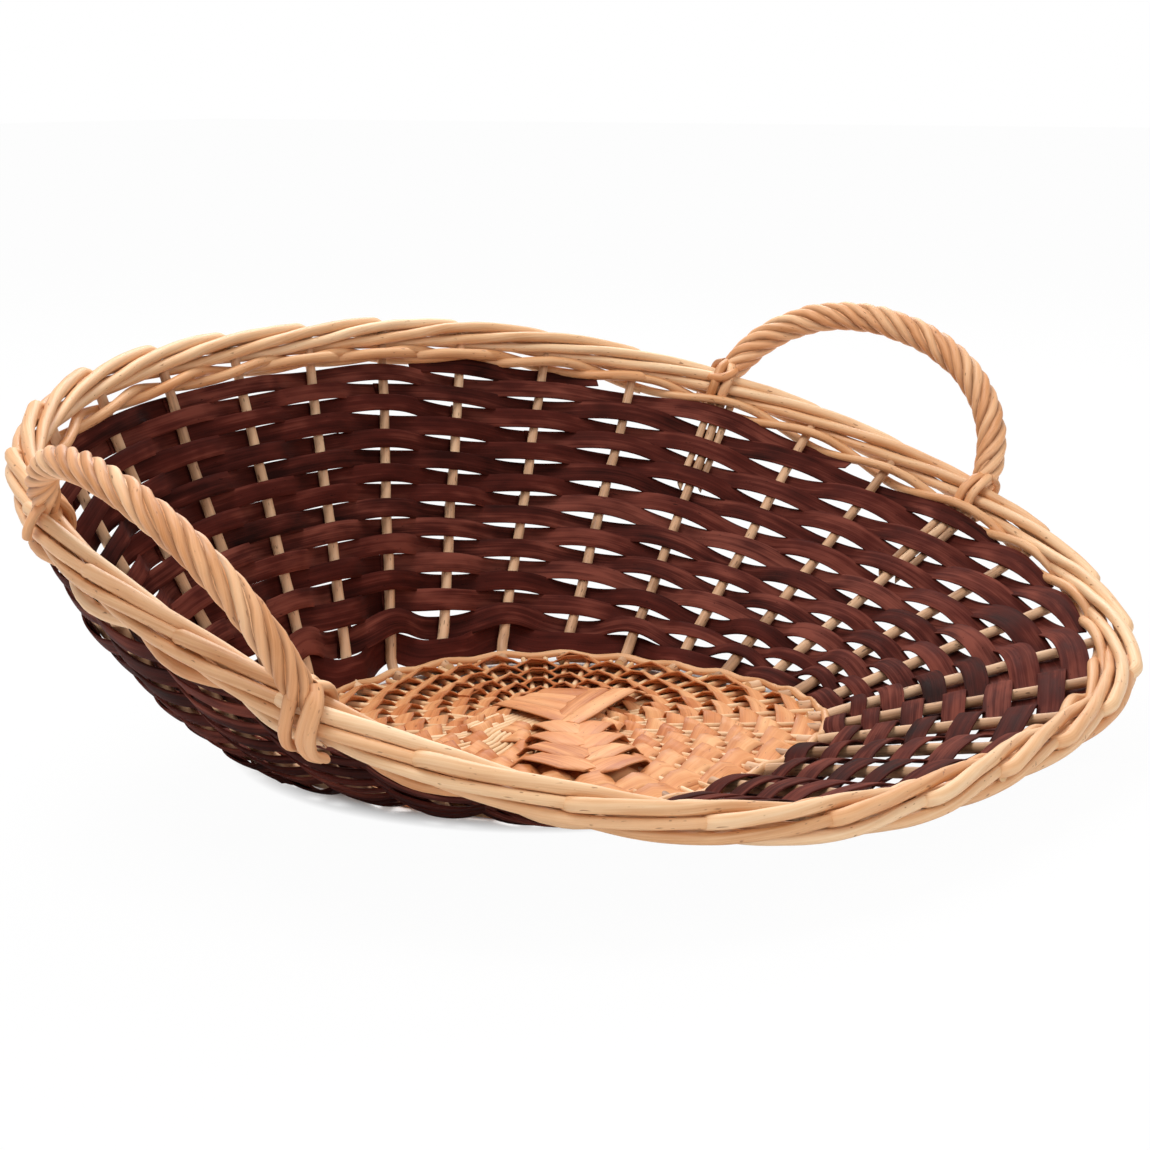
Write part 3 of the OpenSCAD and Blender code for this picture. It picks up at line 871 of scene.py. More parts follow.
@dataclass
class WovenWall(Part):
    """Dark flat strips that pass in turn outside and inside of the stakes.

    The rows are spread to fill the wall, drift along it, and hump over the stakes near the base.
    """

    per_spacing: int = 12
    half_thick: float = 0.45
    cup: float = 0.32
    swing: float = 3.3
    crest: float = 0.25
    overlap: float = 0.34
    tail: float = 0.04
    tuck: Triple = (1.2, 0.3, 0.5)
    reach_past: float = 0.62
    nest: float = 0.35
    hump: float = 3.6
    hump_power: float = 1.7
    hump_fade: float = 1.6
    foot_extra: float = 1.5
    widen: float = 1.14
    widened: tuple[Triple, ...] = ((0.1, 4.0, 3.5), (0.14, 22.0, 6.0))
    narrowest: float = 2.5
    top_gap: float = 16.2
    wale_lap: float = 1.4
    ground_gap: float = 2.6
    drift: float = 9.3
    drift_lost: float = 3.3
    drift_start: float = 6.2
    drift_turn: float = 8.0
    drift_high: float = 60.0
    drift_ends: tuple[float, float] = (28.0, 30.0)

    def __post_init__(self) -> None:
        """Works out how far the rows spread so that they fill the wall up to the wale."""
        form = self.form
        w = np.arange(-STAKES, 2 * STAKES + 0.01, 0.1)
        rows = range(1, form.weave_rows + 1)
        counts = np.array([sum(form.fits(row, j) for row in rows) for j in range(STAKES)])
        near = counts[np.mod(np.rint(w).astype(int), STAKES)]
        spread = (form.slant(w) - self.top_gap - form.first_row) / (near * form.row_pitch)
        window = np.hanning(31)
        self._spread = np.convolve(spread, window / window.sum(), mode="same")
        self._places = w

    def build(self) -> None:
        """Makes every woven row as its own piece, in strips that meet behind a stake."""
        for row in range(1, self.form.weave_rows + 1):
            bundle = self.bundle(f"weave_row_{row:02d}", DARK_WILLOW, 1000 + row)
            for first, last in self._runs(row):
                whole = last - first == STAKES
                count = max(1, math.ceil((last - first) / self.form.strip_span))
                stops = [self._joint(row, first, last, first + i * (last - first) / count)
                         for i in range(count + 1)]
                for i in range(count):
                    free = (not whole and i == 0, not whole and i == count - 1)
                    self._strip(bundle, row, stops[i], stops[i + 1], free)
            bundle.finish()

    def _runs(self, row: int) -> list[tuple[int, int]]:
        """First and last stakes of each unbroken run of a row.

        Args:
            row: Number of the row, from the base up.

        Returns:
            The two stakes of each run.
        """
        fits = [self.form.fits(row, j) for j in range(STAKES)]
        if all(fits):
            return [(7 * row, 7 * row + STAKES)]
        starts = [j for j in range(STAKES) if fits[j] and not fits[j - 1]]
        return [(j, j + [*fits[j:], *fits[:j]].index(False) - 1) for j in starts]

    @staticmethod
    def _joint(row: int, first: int, last: int, place: float) -> int:
        """The stake nearest to a place where the row passes outside, so that ends hide behind it.

        Args:
            row: Number of the row, from the base up.
            first: First stake of the run.
            last: Its last stake.
            place: Where two strips would best meet.

        Returns:
            Number of the stake.
        """
        if place <= first or place >= last:
            return first if place <= first else last
        return 2 * round((place - row % 2) / 2) + row % 2

    def _drift(self, w: Array, v: Array, top: Array) -> Array:
        """How far the rows run below their even places at the front left, and above at the back.

        Args:
            w: Places counted in stakes.
            v: Distances up the wall from the base.
            top: Distance up to the top of the wall.

        Returns:
            The drift up the wall at each place.
        """
        place = np.mod(w - self.drift_start, STAKES)
        turn = self.drift_turn
        swing = np.where(place < turn, -np.cos(math.pi * place / turn),
                         np.cos(math.pi * (place - turn) / (STAKES - turn)))
        size = self.drift - self.drift_lost * ease((v - self.drift_high) / self.drift_high)
        foot, head = self.drift_ends
        return swing * size * np.clip(v / foot, 0, 1) * np.clip((top - v) / head, 0, 1)

    def _strip(self, bundle: Bundle, row: int, a: int, b: int, free: tuple[bool, bool]) -> None:
        """One strip from stake a to stake b.

        Args:
            bundle: The row's piece.
            row: Number of the row, from the base up.
            a: Stake at the strip's start.
            b: Stake at its end.
            free: Whether the row itself starts and ends with this strip.
        """
        form = self.form
        before = self.reach_past if free[0] else self.overlap * bundle.rng.uniform(0.8, 1.25)
        after = self.reach_past if free[1] else self.tail
        w = np.linspace(a - before, b + after, int((b - a + before + after) * self.per_spacing) + 1)
        wave = np.cos(math.pi * (w + row))
        offset = self.swing * wave * (1 + self.crest - self.crest * wave ** 2)
        if not free[0]:
            face = 1 if (a + row) % 2 == 0 else -1
            push, start, long = self.tuck
            offset = offset + face * push * (1 - ease((w - a - start) / long))
        spread = np.interp(np.mod(w, STAKES), self._places, self._spread)
        v = form.first_row + (form.row_middle(row) - form.first_row) * spread + bundle.wander(w, 7.0, 0.5)
        rise = 2 * (0.5 + 0.5 * np.cos(math.pi * (w + 1))) ** self.hump_power - 1.0
        v = v + self.hump * math.exp(-(row - 1) / self.hump_fade) * rise - self.nest * wave
        top = form.wale_place(w, self.top_gap) + self.wale_lap
        stretch = 1 + (self._drift(w, v + 4, top) - self._drift(w, v - 4, top)) / 8
        v = v + self._drift(w, v, top)
        widen = hills(w, self.widened, self.widen) + bundle.wander(w, 5.0, 0.06)
        half = form.strip_w / 2 * spread * stretch * widen
        if row == 1:
            v, half = v - self.foot_extra, half + self.foot_extra
        low = np.maximum(0, half - v - self.ground_gap)
        half, v = half - low / 2, v + low / 2
        over = np.maximum(0, v + half - top)
        half, v = half - over / 2, v - over / 2
        keep = half > self.narrowest / 2
        w, v, half, offset, wave = w[keep], v[keep], half[keep], offset[keep], wave[keep]
        lean = np.radians(bundle.wander(w, 6.0, 4.0))
        out = form.outward(w, v)
        bundle.lay(form.wall_point(w, v) + out * column(offset), turned(form.climb(w, v), out, lean),
                   half, self.half_thick, ragged=(0.35, 0.35), cup=self.cup * wave, sides=0)


@dataclass
class Stakes(Part):
    """Upright rods of the wall, which bend in under the base and run up into the border."""

    names: tuple[str, ...] = ("stakes_front", "stakes_left", "stakes_back", "stakes_right")

    def build(self) -> None:
        """Makes the four groups of stakes."""
        stops = [math.ceil((q - 0.5) * STAKES / 4 - self.form.stake_start) for q in range(5)]
        for q, name in enumerate(self.names):
            bundle = self.bundle(name, STAKE_WILLOW)
            for j in range(stops[q], stops[q + 1]):
                self._stake(bundle, j)
            bundle.finish()

    def _stake(self, bundle: Bundle, j: int) -> None:
        """One stake, thinner to its top.

        Args:
            bundle: The piece it belongs to.
            j: Number of the stake.
        """
        form = self.form
        bundle.seed(2000 + j % STAKES)
        foot = form.base_point(j)
        inward = -unit(foot * [1, 1, 0])
        slant = float(form.slant(j))
        across, out = form.sideways(j, slant / 2), form.outward(j, slant / 2)
        points = [foot + inward * 11 - UP * 1.5, foot + inward * 4 - UP * 1.4]
        points += [form.wall_point(j, v) for v in (5.5, 12.0, *np.linspace(20, slant + 0.5, 6))]
        path = curve_through(points, 44)
        v = lengths(path)
        path = path + across * column(bundle.wander(v, 90.0, 0.45) * ease(v / 30))
        path = path + out * column(bundle.wander(v, 80.0, 0.25) * ease(v / 30))
        half = np.linspace(form.stake_d / 2 + 0.05, form.stake_d / 2 - 0.35, len(v))
        bundle.lay(path, across, half * (1 + bundle.wander(v, 33.0, 0.03)))


@dataclass
class Wale(Part):
    """Two thin rods that twine round the stakes under the border."""

    per_spacing: int = 14
    part: int = 10
    drop: float = 12.2
    rise: float = 2.1
    swing: float = 5.2
    starts: tuple[float, ...] = (11.72, 12.74, 13.8)
    start_places: Triple = (0, 0.6, 1.7)
    start_halves: Triple = (2.8, 2.6, 1.3)

    def build(self) -> None:
        """Makes both rods."""
        for phase, name in enumerate(("wale_rod_a", "wale_rod_b")):
            bundle = self.bundle(name, BORDER_WILLOW)
            for first in range(0, STAKES, self.part):
                self._rod(bundle, first, phase)
            for at in self.starts[phase::2]:
                self._start(bundle, at)
            bundle.finish()

    def _start(self, bundle: Bundle, at: float) -> None:
        """A new rod, thick at its cut end inside the wall, that thins and slips out past a stake.

        Args:
            bundle: The piece it belongs to.
            at: Where its cut end is, counted in stakes.
        """
        form = self.form
        bundle.seed(int(3100 + 10 * at))
        w = np.linspace(at, at + self.start_places[-1], 40)
        v = form.wale_place(w, self.drop) - 0.6 + 2.0 * ease((w - at - 0.9) / 0.6)
        offset = -7.0 + 12.0 * ease((w - at - 0.45) / 0.8)
        path = form.wall_point(w, v) + form.outward(w, v) * column(offset)
        half = np.interp(w - at, self.start_places, self.start_halves)
        bundle.lay(path, form.rising(w), half, cuts=(1.3, 0))

    def _rod(self, bundle: Bundle, first: int, phase: int) -> None:
        """One length of a rod, which laps over the next.

        Args:
            bundle: The piece it belongs to.
            first: Stake at its start.
            phase: Which of the two rods.
        """
        form = self.form
        bundle.seed(3000 + first + 10 * phase)
        w = np.linspace(first - 0.1, first + self.part + 0.22, self.part * self.per_spacing)
        turn = math.pi * (w + phase)
        v = form.wale_place(w, self.drop) + bundle.wander(w, 6.0, 0.45)
        path = (form.wall_point(w, v) + form.outward(w, v) * column(self.swing * np.cos(turn))
                + form.climb(w, v) * column(self.rise * np.sin(turn)))
        half = np.linspace(1.08, 0.9, len(w)) * form.wale_rod_d / 2
        bundle.lay(path, form.rising(w), half, cuts=(0.6, -0.6))


@dataclass
class PlaitedBorder(Part):
    """Rods that start at their own stakes and wind once round the border."""

    per_spacing: int = 15
    start_turn: float = 55.0
    ring: float = 4.9
    front_rings: tuple[Triple, ...] = ((1.1, -0.5, 6.0),)
    end_ring: float = 2.6
    dive: float = 0.8
    length: float = 1.06
    elbow_places: tuple[float, ...] = (-0.006, -0.005, -0.002, 0.003, 0.01, 0.02, 0.12)
    elbow_rises: tuple[float, ...] = (-4.6, -3.2, -1.6, -0.4, 0.5, 0.7, 0.0)
    half_places: tuple[float, ...] = (0, 0.02, 0.3, 1.06)
    halves: tuple[float, ...] = (2.75, 2.8, 2.55, 2.1)
    shifts: tuple[Triple, ...] = ((-5.4, 4.0, 2.5), (-4.0, -0.7, 3.4), (-2.4, 10.0, 2.3),
                                  (2.3, 6.9, 1.9), (1.6, 16.2, 2.6), (0.8, 25.5, 1.6))

    def build(self) -> None:
        """Makes the border's five nodes, each of six rods."""
        strands = self.form.border_strands
        for strand in range(strands):
            bundle = self.bundle(f"border_rods_{strand + 1}", BORDER_WILLOW)
            for j in range(strand, STAKES, strands):
                self._rod(bundle, j)
            bundle.finish()

    def _rod(self, bundle: Bundle, j: int) -> None:
        """One rod, from its cut end on top of the border to where it dives under a later rod.

        Args:
            bundle: The piece it belongs to.
            j: Number of the stake it starts at.
        """
        form = self.form
        bundle.seed(4000 + j)
        count = int(form.border_strands * self.per_spacing * self.length)
        t = np.r_[self.elbow_places[:-2], np.linspace(self.elbow_places[-2], self.length, count)]
        w = j + (t + bundle.rng.uniform(-0.008, 0.008)) * form.border_strands
        turn = np.radians(self.start_turn - 360 * t + bundle.rng.uniform(-5, 5) + bundle.wander(w, 3.0, 6.0))
        sink = ease((t - self.dive) / (self.length - self.dive))
        ring = hills(w, self.front_rings, self.ring) * (1 - sink) + self.end_ring * sink
        ring = ring + bundle.wander(w, 2.5, 0.3) + np.interp(t, self.elbow_places, self.elbow_rises)
        up, out = form.rim_frame(w)
        path = form.border_point(w) + out * column(hills(w, self.shifts))
        path = path + turned(up, out, turn) * column(ring)
        half = np.interp(t, self.half_places, self.halves) * bundle.rng.uniform(0.95, 1.06)
        half = half * (1 + bundle.wander(w, 1.7, 0.025))
        bundle.lay(path, turned(out, -up, turn), half, tint_power=2)


# Handles

# Laps over the border: stops as (along, out, up) from the border's middle at a foot.
OUTER_LAPS = (
    ((-1.5, 3, 12), (-3.2, 8.0, 8.5), (-2.6, 9.8, 1), (-1.8, 9.2, -5.5), (-1.0, 7.0, -10.4), (0.2, 2.6, -12)),
    ((2, 3, 12), (6.0, 7.6, 8), (6.8, 9.6, 1), (7.4, 9.2, -5), (8.8, 7.0, -9.5), (11, 3, -11)),
    ((2, 3, 11), (4.4, 7.4, 8.6), (4.6, 9.5, 0), (5.2, 9.0, -6.5), (7.0, 6.4, -10.8), (9.5, 2.6, -12)))
INNER_LAPS = (
    ((-1, 3, 12), (-3.0, -3.5, 10), (-3, -8.7, 5), (-2.4, -9.9, -1.2), (-1.5, -8.3, -7.5), (-0.4, -4, -11.5)),
    ((1.5, 3, 12), (2.6, -3.6, 10), (2.9, -8.8, 5), (3.4, -10, -1), (4.2, -8.2, -7.5), (5, -4, -11)))
CROSS_LAP = ((-3, 2, 10), (-4.4, -4, 9.8), (-0.5, -9.4, 7.2), (4.6, -8.6, 5.2), (7, -4.6, 4.4))
TAIL_LAP = ((1, -3, 11), (5, 0, 10.2), (8, 5, 9.0), (10.5, 8.2, 5), (11.4, 9.2, 1), (11.2, 9.0, -1.5))


@dataclass(frozen=True)
class Grip:
    """What sets one handle apart from the other: rope size, rise, feet and rear laps."""

    side: Side
    size: float
    lift: float
    slides: tuple[float, float]
    rear_in: float
    rear_laps: tuple


GRIPS = (Grip(Side.LEFT, 1.0, 2.9, (0.06, 0.0), 0.0, (CROSS_LAP, *OUTER_LAPS)),
         Grip(Side.RIGHT, 0.82, -6.0, (0.12, 0.15), 4.3, (TAIL_LAP,)))


@dataclass
class TwistedHandle(Part):
    """Rope handle of four strands, with its ends laid over the border and rods down the wall."""

    grip: Grip
    into_border: float = 5.0
    lobes: int = 6
    lobe_pitch: float = 57.0
    rope_ring: float = 4.55
    lobe_parts: tuple = ((-0.35, 0.0, 2.7, 3.0), (1.6, 0.8, 1.35, 2.3))
    end_size: float = 0.78
    end_reach: float = 15.0
    lap_half: float = 2.55
    lap_thick: float = 1.75

    def __post_init__(self) -> None:
        """Works out the arch between the two feet."""
        form, side = self.form, self.grip.side
        self.label = side.name.lower()
        self.spots = [foot + slide for foot, slide in zip(form.feet[side], self.grip.slides)]
        a, b = (form.border_point(spot) for spot in self.spots)
        a = a - form.rim_frame(self.spots[0])[1] * self.grip.rear_in
        chord = unit(b - a)
        out = np.array([0.0, side.value, 0.0])
        out = unit(out - chord * (out @ chord))
        rise = unit(turned(unit(UP - chord * chord[2]), out, math.radians(form.handle_lean)))
        power = 2 / form.handle_square
        seat = form.border_radius + form.rope_seat - self.into_border
        start = math.asin((seat / form.handle_rise) ** (1 / power))
        angle = np.linspace(math.pi - start, start, 400)
        c, s = np.cos(angle), np.sin(angle)
        x = np.linalg.norm(b - a) / 2 * np.sign(c) * np.abs(c) ** power
        y = (form.handle_rise + self.grip.lift) * s ** power
        self.arch = even((a + b) / 2 + chord * x[:, None] + rise * y[:, None], 400)
        self.flat = unit(np.cross(self.arch[200] - self.arch[0], self.arch[399] - self.arch[200]))

    def build(self) -> None:
        """Makes the strands, the bands and the liners of this handle."""
        for strand in range(1, self.form.handle_strands + 1):
            self._strand(strand)
        self._bands()
        self._liners()

    def _strand(self, strand: int) -> None:
        """One strand of the rope. Every other strand is split in two, so the rope shows six lobes.

        Args:
            strand: Number of the strand.
        """
        bundle = self.bundle(f"{self.label}_handle_strand_{strand}", HANDLE_WILLOW,
                             5000 + 10 * strand + self.grip.side.value)
        long = lengths(self.arch)[-1]
        middle = even(self.arch, int(long / 1.6))
        reach = np.linspace(0, long, len(middle))
        across = np.cross(unit(np.gradient(middle, axis=0)), self.flat)
        grown = ease(np.minimum(reach, long - reach) / self.end_reach)
        taper = (self.end_size + (1 - self.end_size) * grown) * self.grip.size
        ring = self.rope_ring * (1 + bundle.wander(reach, 60.0, 0.06)) * taper
        first, stop = ((strand - back) * self.lobes // self.form.handle_strands for back in (1, 0))
        for lobe in range(first, stop):
            lobe_turn = 2 * math.pi * (lobe / self.lobes - (reach - self.into_border) / self.lobe_pitch)
            lobe_turn = lobe_turn + bundle.wander(reach, 70.0, 0.1)
            tone = bundle.rng.uniform()
            for shift, sink, wide, thick in self.lobe_parts:
                turn = lobe_turn + (shift + bundle.wander(reach, 40.0, 0.3)) / ring
                path = middle + turned(across, self.flat, turn) * column(ring - sink)
                half = wide * taper * (1 + bundle.wander(reach, 25.0, 0.08))
                deep = thick * taper * (1 + bundle.wander(reach, 25.0, 0.06))
                own_tone, tint = bundle.rng.uniform(size=2)
                # The edge setting darkens each lobe's sides with painted shade, where the creases between
                # lobes would be shaded.
                bundle.add(Strand(path, turned(self.flat, -across, turn), half, deep,
                                  tone=tone * 0.7 + 0.3 * own_tone, tint=tint, edge=0.75))
        bundle.finish()

    def _bands(self) -> None:
        """Ends of the strands: laid down over the border outside, and round it inside."""
        bundle = self.bundle(f"{self.label}_handle_bands", HANDLE_WILLOW, 6000 + self.grip.side.value)
        for foot, laps in zip(self.spots, (self.grip.rear_laps, OUTER_LAPS)):
            middle = self.form.border_point(foot)
            up, out = self.form.rim_frame(foot)
            way = np.cross(up, out)
            for stops in (*laps, *INNER_LAPS):
                path = curve_through([middle + way * (a + bundle.rng.uniform(-0.4, 0.4)) + out * o + up * u
                                      for a, o, u in stops], 44)
                near = path - middle
                face = unit(column(near @ out) * out + column(near @ up) * up)
                side = unit(np.cross(unit(np.gradient(path, axis=0)), face))
                half = self.lap_half * bundle.rng.uniform(0.92, 1.08)
                # The edge setting darkens the bands' edges with painted shade.
                bundle.lay(path, side, half, self.lap_thick, ragged=(0, 0.5), edge=0.35)
        bundle.finish()

    def _liners(self) -> None:
        """Rods pushed down beside the stakes under both feet."""
        form = self.form
        bundle = self.bundle(f"{self.label}_handle_liners", STAKE_WILLOW, 6500 + self.grip.side.value)
        for foot in form.feet[self.grip.side]:
            slant = float(form.slant(foot))
            across = form.sideways(foot, slant)
            for along in (-1, 1):
                gap = along * (form.stake_d / 2 + form.liner_d / 2 + form.clearance)
                v = np.linspace(slant - form.liner_reach - bundle.rng.uniform(0, 5), slant - 4, 30)
                path = form.wall_point(np.full(30, float(foot)), v)
                path = path + across * column(gap + bundle.wander(v, 60.0, 0.3))
                bundle.lay(path, across, np.linspace(0.8, 1.02, 30) * form.liner_d / 2, cuts=(1.2, 0))
        bundle.finish()


# Base


@dataclass
class WovenBase(Part):
    """Crossed sticks, the flat rows woven over them, the hub's lashing and the edge rod."""

    half_thick: float = 0.4
    hub_turns: tuple[float, ...] = (36.5, 29.0, 21.5)
    inner_tilt: float = 19.0
    edge_tilt: float = 31.0
    row_lap: float = 3.2
    # How much painted shade darkens the edges of the rows and hub turns.
    row_edge_shade: float = 0.6
    partner_out: float = 2.3
    partner_down: float = 1.9
    hub_step: float = 2.6
    hub_square: float = 0.7
    hub_half_width: float = 4.8
    edge_rod_z: tuple[float, float] = (4.1, 0.9)

    def build(self) -> None:
        """Makes all the pieces of the base."""
        self._sticks()
        for row in range(1, self.form.base_rows + 1):
            self._row(row)
        self._edge_rod()
        self._lashing()

    def _sticks(self) -> None:
        """Lower sticks from back to front and upper sticks from handle to handle."""
        form = self.form
        count, half_hub = form.arm_sticks, form.hub_half
        edge, reach = form.stick_inset, form.base_depth / 2 - (form.hub_reach - form.base_pitch / 2)
        for upper, name in enumerate(("base_sticks_lower", "base_sticks_upper")):
            bundle = self.bundle(name, BASE_STICK_WILLOW, 7000 + upper)
            for i in np.arange(count) - (count - 1) / 2:
                x, z = i * form.stick_pitch, form.base_mid + upper * form.stick_pitch
                if upper:
                    ends, hub = (3 * count + i, count - i), ([x, -half_hub, z], [x, half_hub, z])
                else:
                    ends, hub = (2 * count - i, i), ([-half_hub, x, z], [half_hub, x, z])
                path = curve_through([self._inside(ends[0], edge), self._inside(ends[0], reach), *hub,
                                      self._inside(ends[1], reach), self._inside(ends[1], edge)], 60)
                half = form.base_stick_d / 2 * (1 + bundle.wander(lengths(path), 60.0, 0.04))
                bundle.lay(path, np.cross(UP, unit(np.gradient(path, axis=0))), half, sides=10)
            bundle.finish()

    def _inside(self, spoke: float, inset: float) -> Array:
        """Point of a stick, inset from the base's edge."""
        edge = self.form.spoke_edge(spoke) * [1, 1, 0]
        return edge * self.form.inset_share(inset) + UP * self.form.base_mid

    def _row(self, row: int) -> None:
        """One woven row with its partner, both up on their inner edges where they pass over sticks.

        Args:
            row: Number of the row.
        """
        form = self.form
        bundle = self.bundle(f"base_row_{row:02d}", BASE_WILLOW, 7100 + row)
        first = 0.5 + 10 * row
        m = np.linspace(first - 0.9, first + form.spoke_count + 0.9, form.spoke_count * 8)
        high = np.cos(math.pi * ((m - 0.5) / 2 + row))
        over = (0.5 + 0.5 * high) ** 1.5
        inset = form.weave_inset + (form.base_rows - row + 0.5) * form.base_pitch
        share = form.inset_share(inset) * (1 + bundle.wander(m, 14.0, 0.004))
        way = unit(form.spoke_edge(m + 0.1) - form.spoke_edge(m - 0.1))
        path = form.spoke_edge(m) * column(share)
        path[:, 2] = form.base_mid + form.base_swing * high + 0.05 + over * (0.4 + 0.07 * row)
        path[:, 2] += 1.1 * ease((m - m[-1] + 2.0) / 0.8)
        steep = self.inner_tilt + (self.edge_tilt - self.inner_tilt) * (row - 1) / (form.base_rows - 1)
        side = turned(np.cross(UP, way), UP, np.radians(steep * (0.5 + 0.5 * high)))
        half = (form.base_pitch + self.row_lap) / 2 * (1 + bundle.wander(m, 12.0, 0.05))
        # The edge setting darkens the rows' edges with painted shade, where the creases between strips would
        # be shaded.
        bundle.lay(path, side, half, self.half_thick, cup=0.55 * over, sides=0, edge=self.row_edge_shade)
        under = path + np.cross(way, UP) * self.partner_out - UP * column(self.partner_down * over)
        bundle.lay(under, side, half * 0.95, self.half_thick * 0.8, cup=0.45 * over, sides=0,
                   edge=self.row_edge_shade)
        bundle.finish()

    def _edge_rod(self) -> None:
        """Rod round the base's edge, up over each stake and down between them."""
        form = self.form
        bundle = self.bundle("base_edge_rod", BORDER_WILLOW, 7300)
        for first in (0, STAKES // 2):
            w = np.linspace(first - 0.3, first + STAKES // 2 + 0.3, 260)
            path = form.base_point(w) * [1, 1, 0] * form.inset_share(form.edge_rod_inset)
            path[:, 2] = self.edge_rod_z[0] + self.edge_rod_z[1] * np.cos(2 * math.pi * w)
            half = form.edge_rod_d / 2 * (1 + bundle.wander(w, 4.0, 0.05))
            bundle.lay(path, UP, half, cuts=(0.5, -0.5))
        bundle.finish()

    def _lashing(self) -> None:
        """Wide flat strips laid over the hub in a herringbone, with one strip across underneath."""
        form = self.form
        bundle = self.bundle("base_binding", BASE_WILLOW, 7400)
        top = form.base_mid + form.stick_pitch + form.base_stick_d / 2

        def lay(start: tuple[float, float], end: tuple[float, float], low: float, high: float,
                wide: float, lean: float, narrow: tuple[float, float] = (1.0, 0.4)) -> None:
            """One strip from a fold where it comes up to its end on the seam."""
            a, b = (np.array([*spot, 0.0]) for spot in (start, end))
            t = np.linspace(0, 1, 34)
            path = a + (b - a) * column(t)
            path[:, 2] = low + (high - low) * t + 1.2 * np.sin(math.pi * t) - 4.0 * (1 - ease(t / 0.22))
            half = wide / 2 * np.interp(t, (0, 0.25, 0.75, 1), (narrow[0], 1.0, 1.0, narrow[1]))
            # The edge setting darkens the strip's edges with painted shade, where the gaps between strips
            # would be shaded.
            bundle.lay(path, turned(np.cross(UP, unit(b - a)), UP, lean), half, self.half_thick,
                       ragged=(0, 0.3), cup=0.9, sides=0, edge=0.5)

        for turn, radius in enumerate(self.hub_turns):
            self._hub_turn(bundle, turn, radius)
        for k in range(4):
            lift = top + 2.0 - 0.45 * k
            lay((25 + 14 * k, 5 - 10 * k), (34 + 10 * k, -27 - 10 * k), lift, lift - 0.2, 19.0, 0.07)
            lay((8 + 6.3 * k, -9 - 13.7 * k), (33 + 10.6 * k, -20.5 - 11.5 * k), lift, lift + 0.6,
                20.5, -0.06)
        for k in range(4):
            lay((-37 + 2.3 * k, 8.5 + 5.5 * k), (17 - 3 * k, -3 + 14 * k), top + 0.9 + 0.3 * k, top + 2.6,
                15.0, -0.06, (0.5, 1.0))
        lay((6, 62), (20, -11), top + 3.2, top + 3.4, 13.5, 0.08, (0.8, 0.8))
        lay((-4, 54), (10, -2), top + 2.9, top + 2.9, 11.0, 0.08, (0.7, 0.8))
        under = curve_through([[-form.hub_half, 0, 0.55], [0, 0, 0.5], [form.hub_half, 0, 0.55]], 12)
        bundle.add(Strand(under, np.array([0, 1.0, 0]), 4.1, self.half_thick, sides=0))
        bundle.finish()

    def _hub_turn(self, bundle: Bundle, turn: int, radius: float) -> None:
        """One small turn of strip woven round the middle, inside the first full row.

        Args:
            bundle: The piece it belongs to.
            turn: Number of the turn.
            radius: Its radius.
        """
        form = self.form
        overs = round(radius / self.hub_step)
        angle = np.linspace(-0.08, 2 * math.pi, overs * 24)
        wave = np.cos(overs * angle + math.pi * turn)
        high = wave * (1.35 - 0.35 * wave ** 2)
        lift = form.stick_pitch * ease((38 - radius) / 13)
        c, s = np.cos(angle), np.sin(angle)
        x, y = (np.sign(part) * np.abs(part) ** self.hub_square for part in (c, s))
        path = np.stack([x, y, np.zeros_like(c)], 1) * radius
        ray = unit(path)
        path[:, 2] = form.base_mid + 0.5 * lift + (form.base_swing + 0.5 * lift) * high + 0.3
        # The edge setting darkens the turn's edges with painted shade.
        bundle.lay(path, turned(-ray, UP, np.radians(20 * ease(high))), self.hub_half_width,
                   self.half_thick, cup=0.5 * np.maximum(high, 0), sides=0, edge=self.row_edge_shade)


# Setting


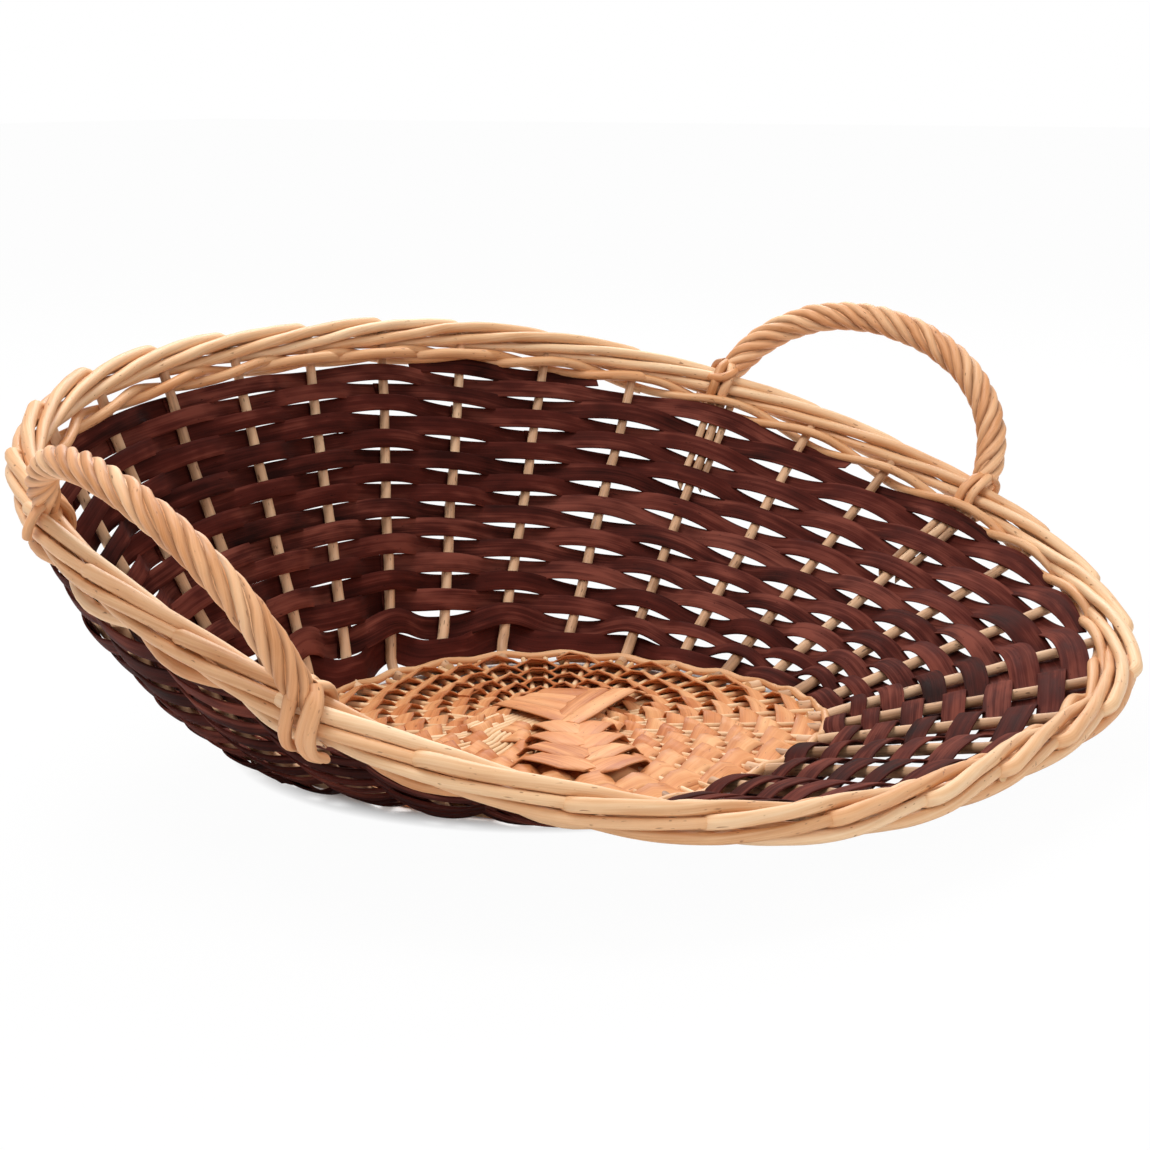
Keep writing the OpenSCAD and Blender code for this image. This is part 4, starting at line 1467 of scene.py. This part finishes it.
@dataclass
class Studio:
    """Pale floor, soft lamps, white surroundings and the camera."""

    camera_at: Triple = (0.590635, -0.792057, 0.284938)
    look_at: Triple = (0.01677, -0.00068, 0.07423)
    roll: float = -0.202
    lens: float = 72.08
    world_strength: float = 0.42
    floor_white: float = 0.97
    shadow_reach: tuple[float, float] = (0.12, 0.14)
    lamps_aim: Triple = (0.02, 0, 0.07)
    lamps: tuple[tuple[str, Triple, float, float], ...] = (
        ("key", (-0.2, -0.5, 1.5), 0.8, 15.0),
        ("fill", (1.5, -0.5, 1.0), 1.0, 7.0),
        ("back", (-0.7, 1.1, 1.3), 0.9, 17.0))

    def build(self) -> None:
        """Sets out the floor, the lamps, the world and the camera."""
        bpy.context.scene.view_settings.view_transform = "Standard"
        self._floor()
        self._world()
        for name, at, size, power in self.lamps:
            lamp = bpy.data.lights.new(name, "AREA")
            lamp.size = size
            lamp.energy = power
            turn = (Vector(self.lamps_aim) - Vector(at)).to_track_quat("-Z", "Y").to_matrix().to_4x4()
            self._place(name, lamp, Matrix.Translation(at) @ turn)
        self._camera()

    @staticmethod
    def _place(name: str, data: bpy.types.ID, matrix: Matrix) -> bpy.types.Object:
        """A lamp or camera put in its place.

        Args:
            name: Name of the object.
            data: The lamp or camera.
            matrix: Its place and direction.

        Returns:
            The object.
        """
        obj = bpy.data.objects.new(name, data)
        obj.matrix_world = matrix
        bpy.context.scene.collection.objects.link(obj)
        return obj

    def _floor(self) -> None:
        """A wide pale floor that shows as plain white but keeps the shadow."""
        bpy.ops.mesh.primitive_plane_add(size=24)
        floor = bpy.context.object
        floor.name = "studio_floor"
        made = bpy.data.materials.new("studio_white")
        made.use_nodes = True
        made.node_tree.nodes.clear()
        sheet = Sheet(made.node_tree)
        matt = sheet.node("BsdfDiffuse", {0: (0.92, 0.92, 0.92, 1)})
        plain = sheet.node("Emission")
        place = sheet.node("TexCoord").outputs["Object"]
        away = sheet.node("VectorMath", {0: place}, operation="LENGTH").outputs["Value"]
        clear = sheet.times(sheet.spread(away, *self.shadow_reach), self.floor_white)
        share = sheet.times(sheet.node("LightPath").outputs["Is Camera Ray"], clear)
        mix = sheet.node("MixShader", {0: share, 1: matt.outputs[0], 2: plain.outputs[0]})
        sheet.node("OutputMaterial", {0: mix.outputs[0]})
        floor.data.materials.append(made)

    def _world(self) -> None:
        """White surroundings, dimmer as a light than as a backdrop."""
        world = bpy.data.worlds.new("studio_world")
        bpy.context.scene.world = world
        world.use_nodes = True
        sheet = Sheet(world.node_tree)
        path = sheet.node("LightPath").outputs
        seen = sheet.maths("MAXIMUM", path["Is Camera Ray"], path["Is Glossy Ray"])
        seen = sheet.maths("MAXIMUM", seen, path["Is Transmission Ray"])
        strength = sheet.spread(seen, 0.0, 1.0, self.world_strength, 1.0)
        fill(world.node_tree.nodes["Background"], {0: (1, 1, 1, 1), 1: strength})

    def _camera(self) -> None:
        """The camera, level but for a slight roll."""
        lens = bpy.data.cameras.new("camera")
        lens.lens = self.lens
        lens.sensor_width = 36
        lens.clip_start = 0.01
        at = Vector(self.camera_at)
        turn = (Vector(self.look_at) - at).to_track_quat("-Z", "Y").to_matrix().to_4x4()
        roll = Matrix.Rotation(math.radians(self.roll), 4, "Z")
        bpy.context.scene.camera = self._place("camera", lens, Matrix.Translation(at) @ turn @ roll)


def main() -> None:
    """Builds the basket piece by piece, then its setting."""
    logging.basicConfig(level=logging.INFO, format="%(message)s")
    form, stock = BasketForm(), Stock()
    parts = [kind(form, stock) for kind in (Stakes, WovenWall, Wale, PlaitedBorder)]
    parts += [TwistedHandle(form, stock, grip) for grip in GRIPS]
    for part in (*parts, WovenBase(form, stock)):
        LOG.info("building %s", type(part).__name__)
        part.build()
    Studio().build()


if __name__ == "__main__":
    main()
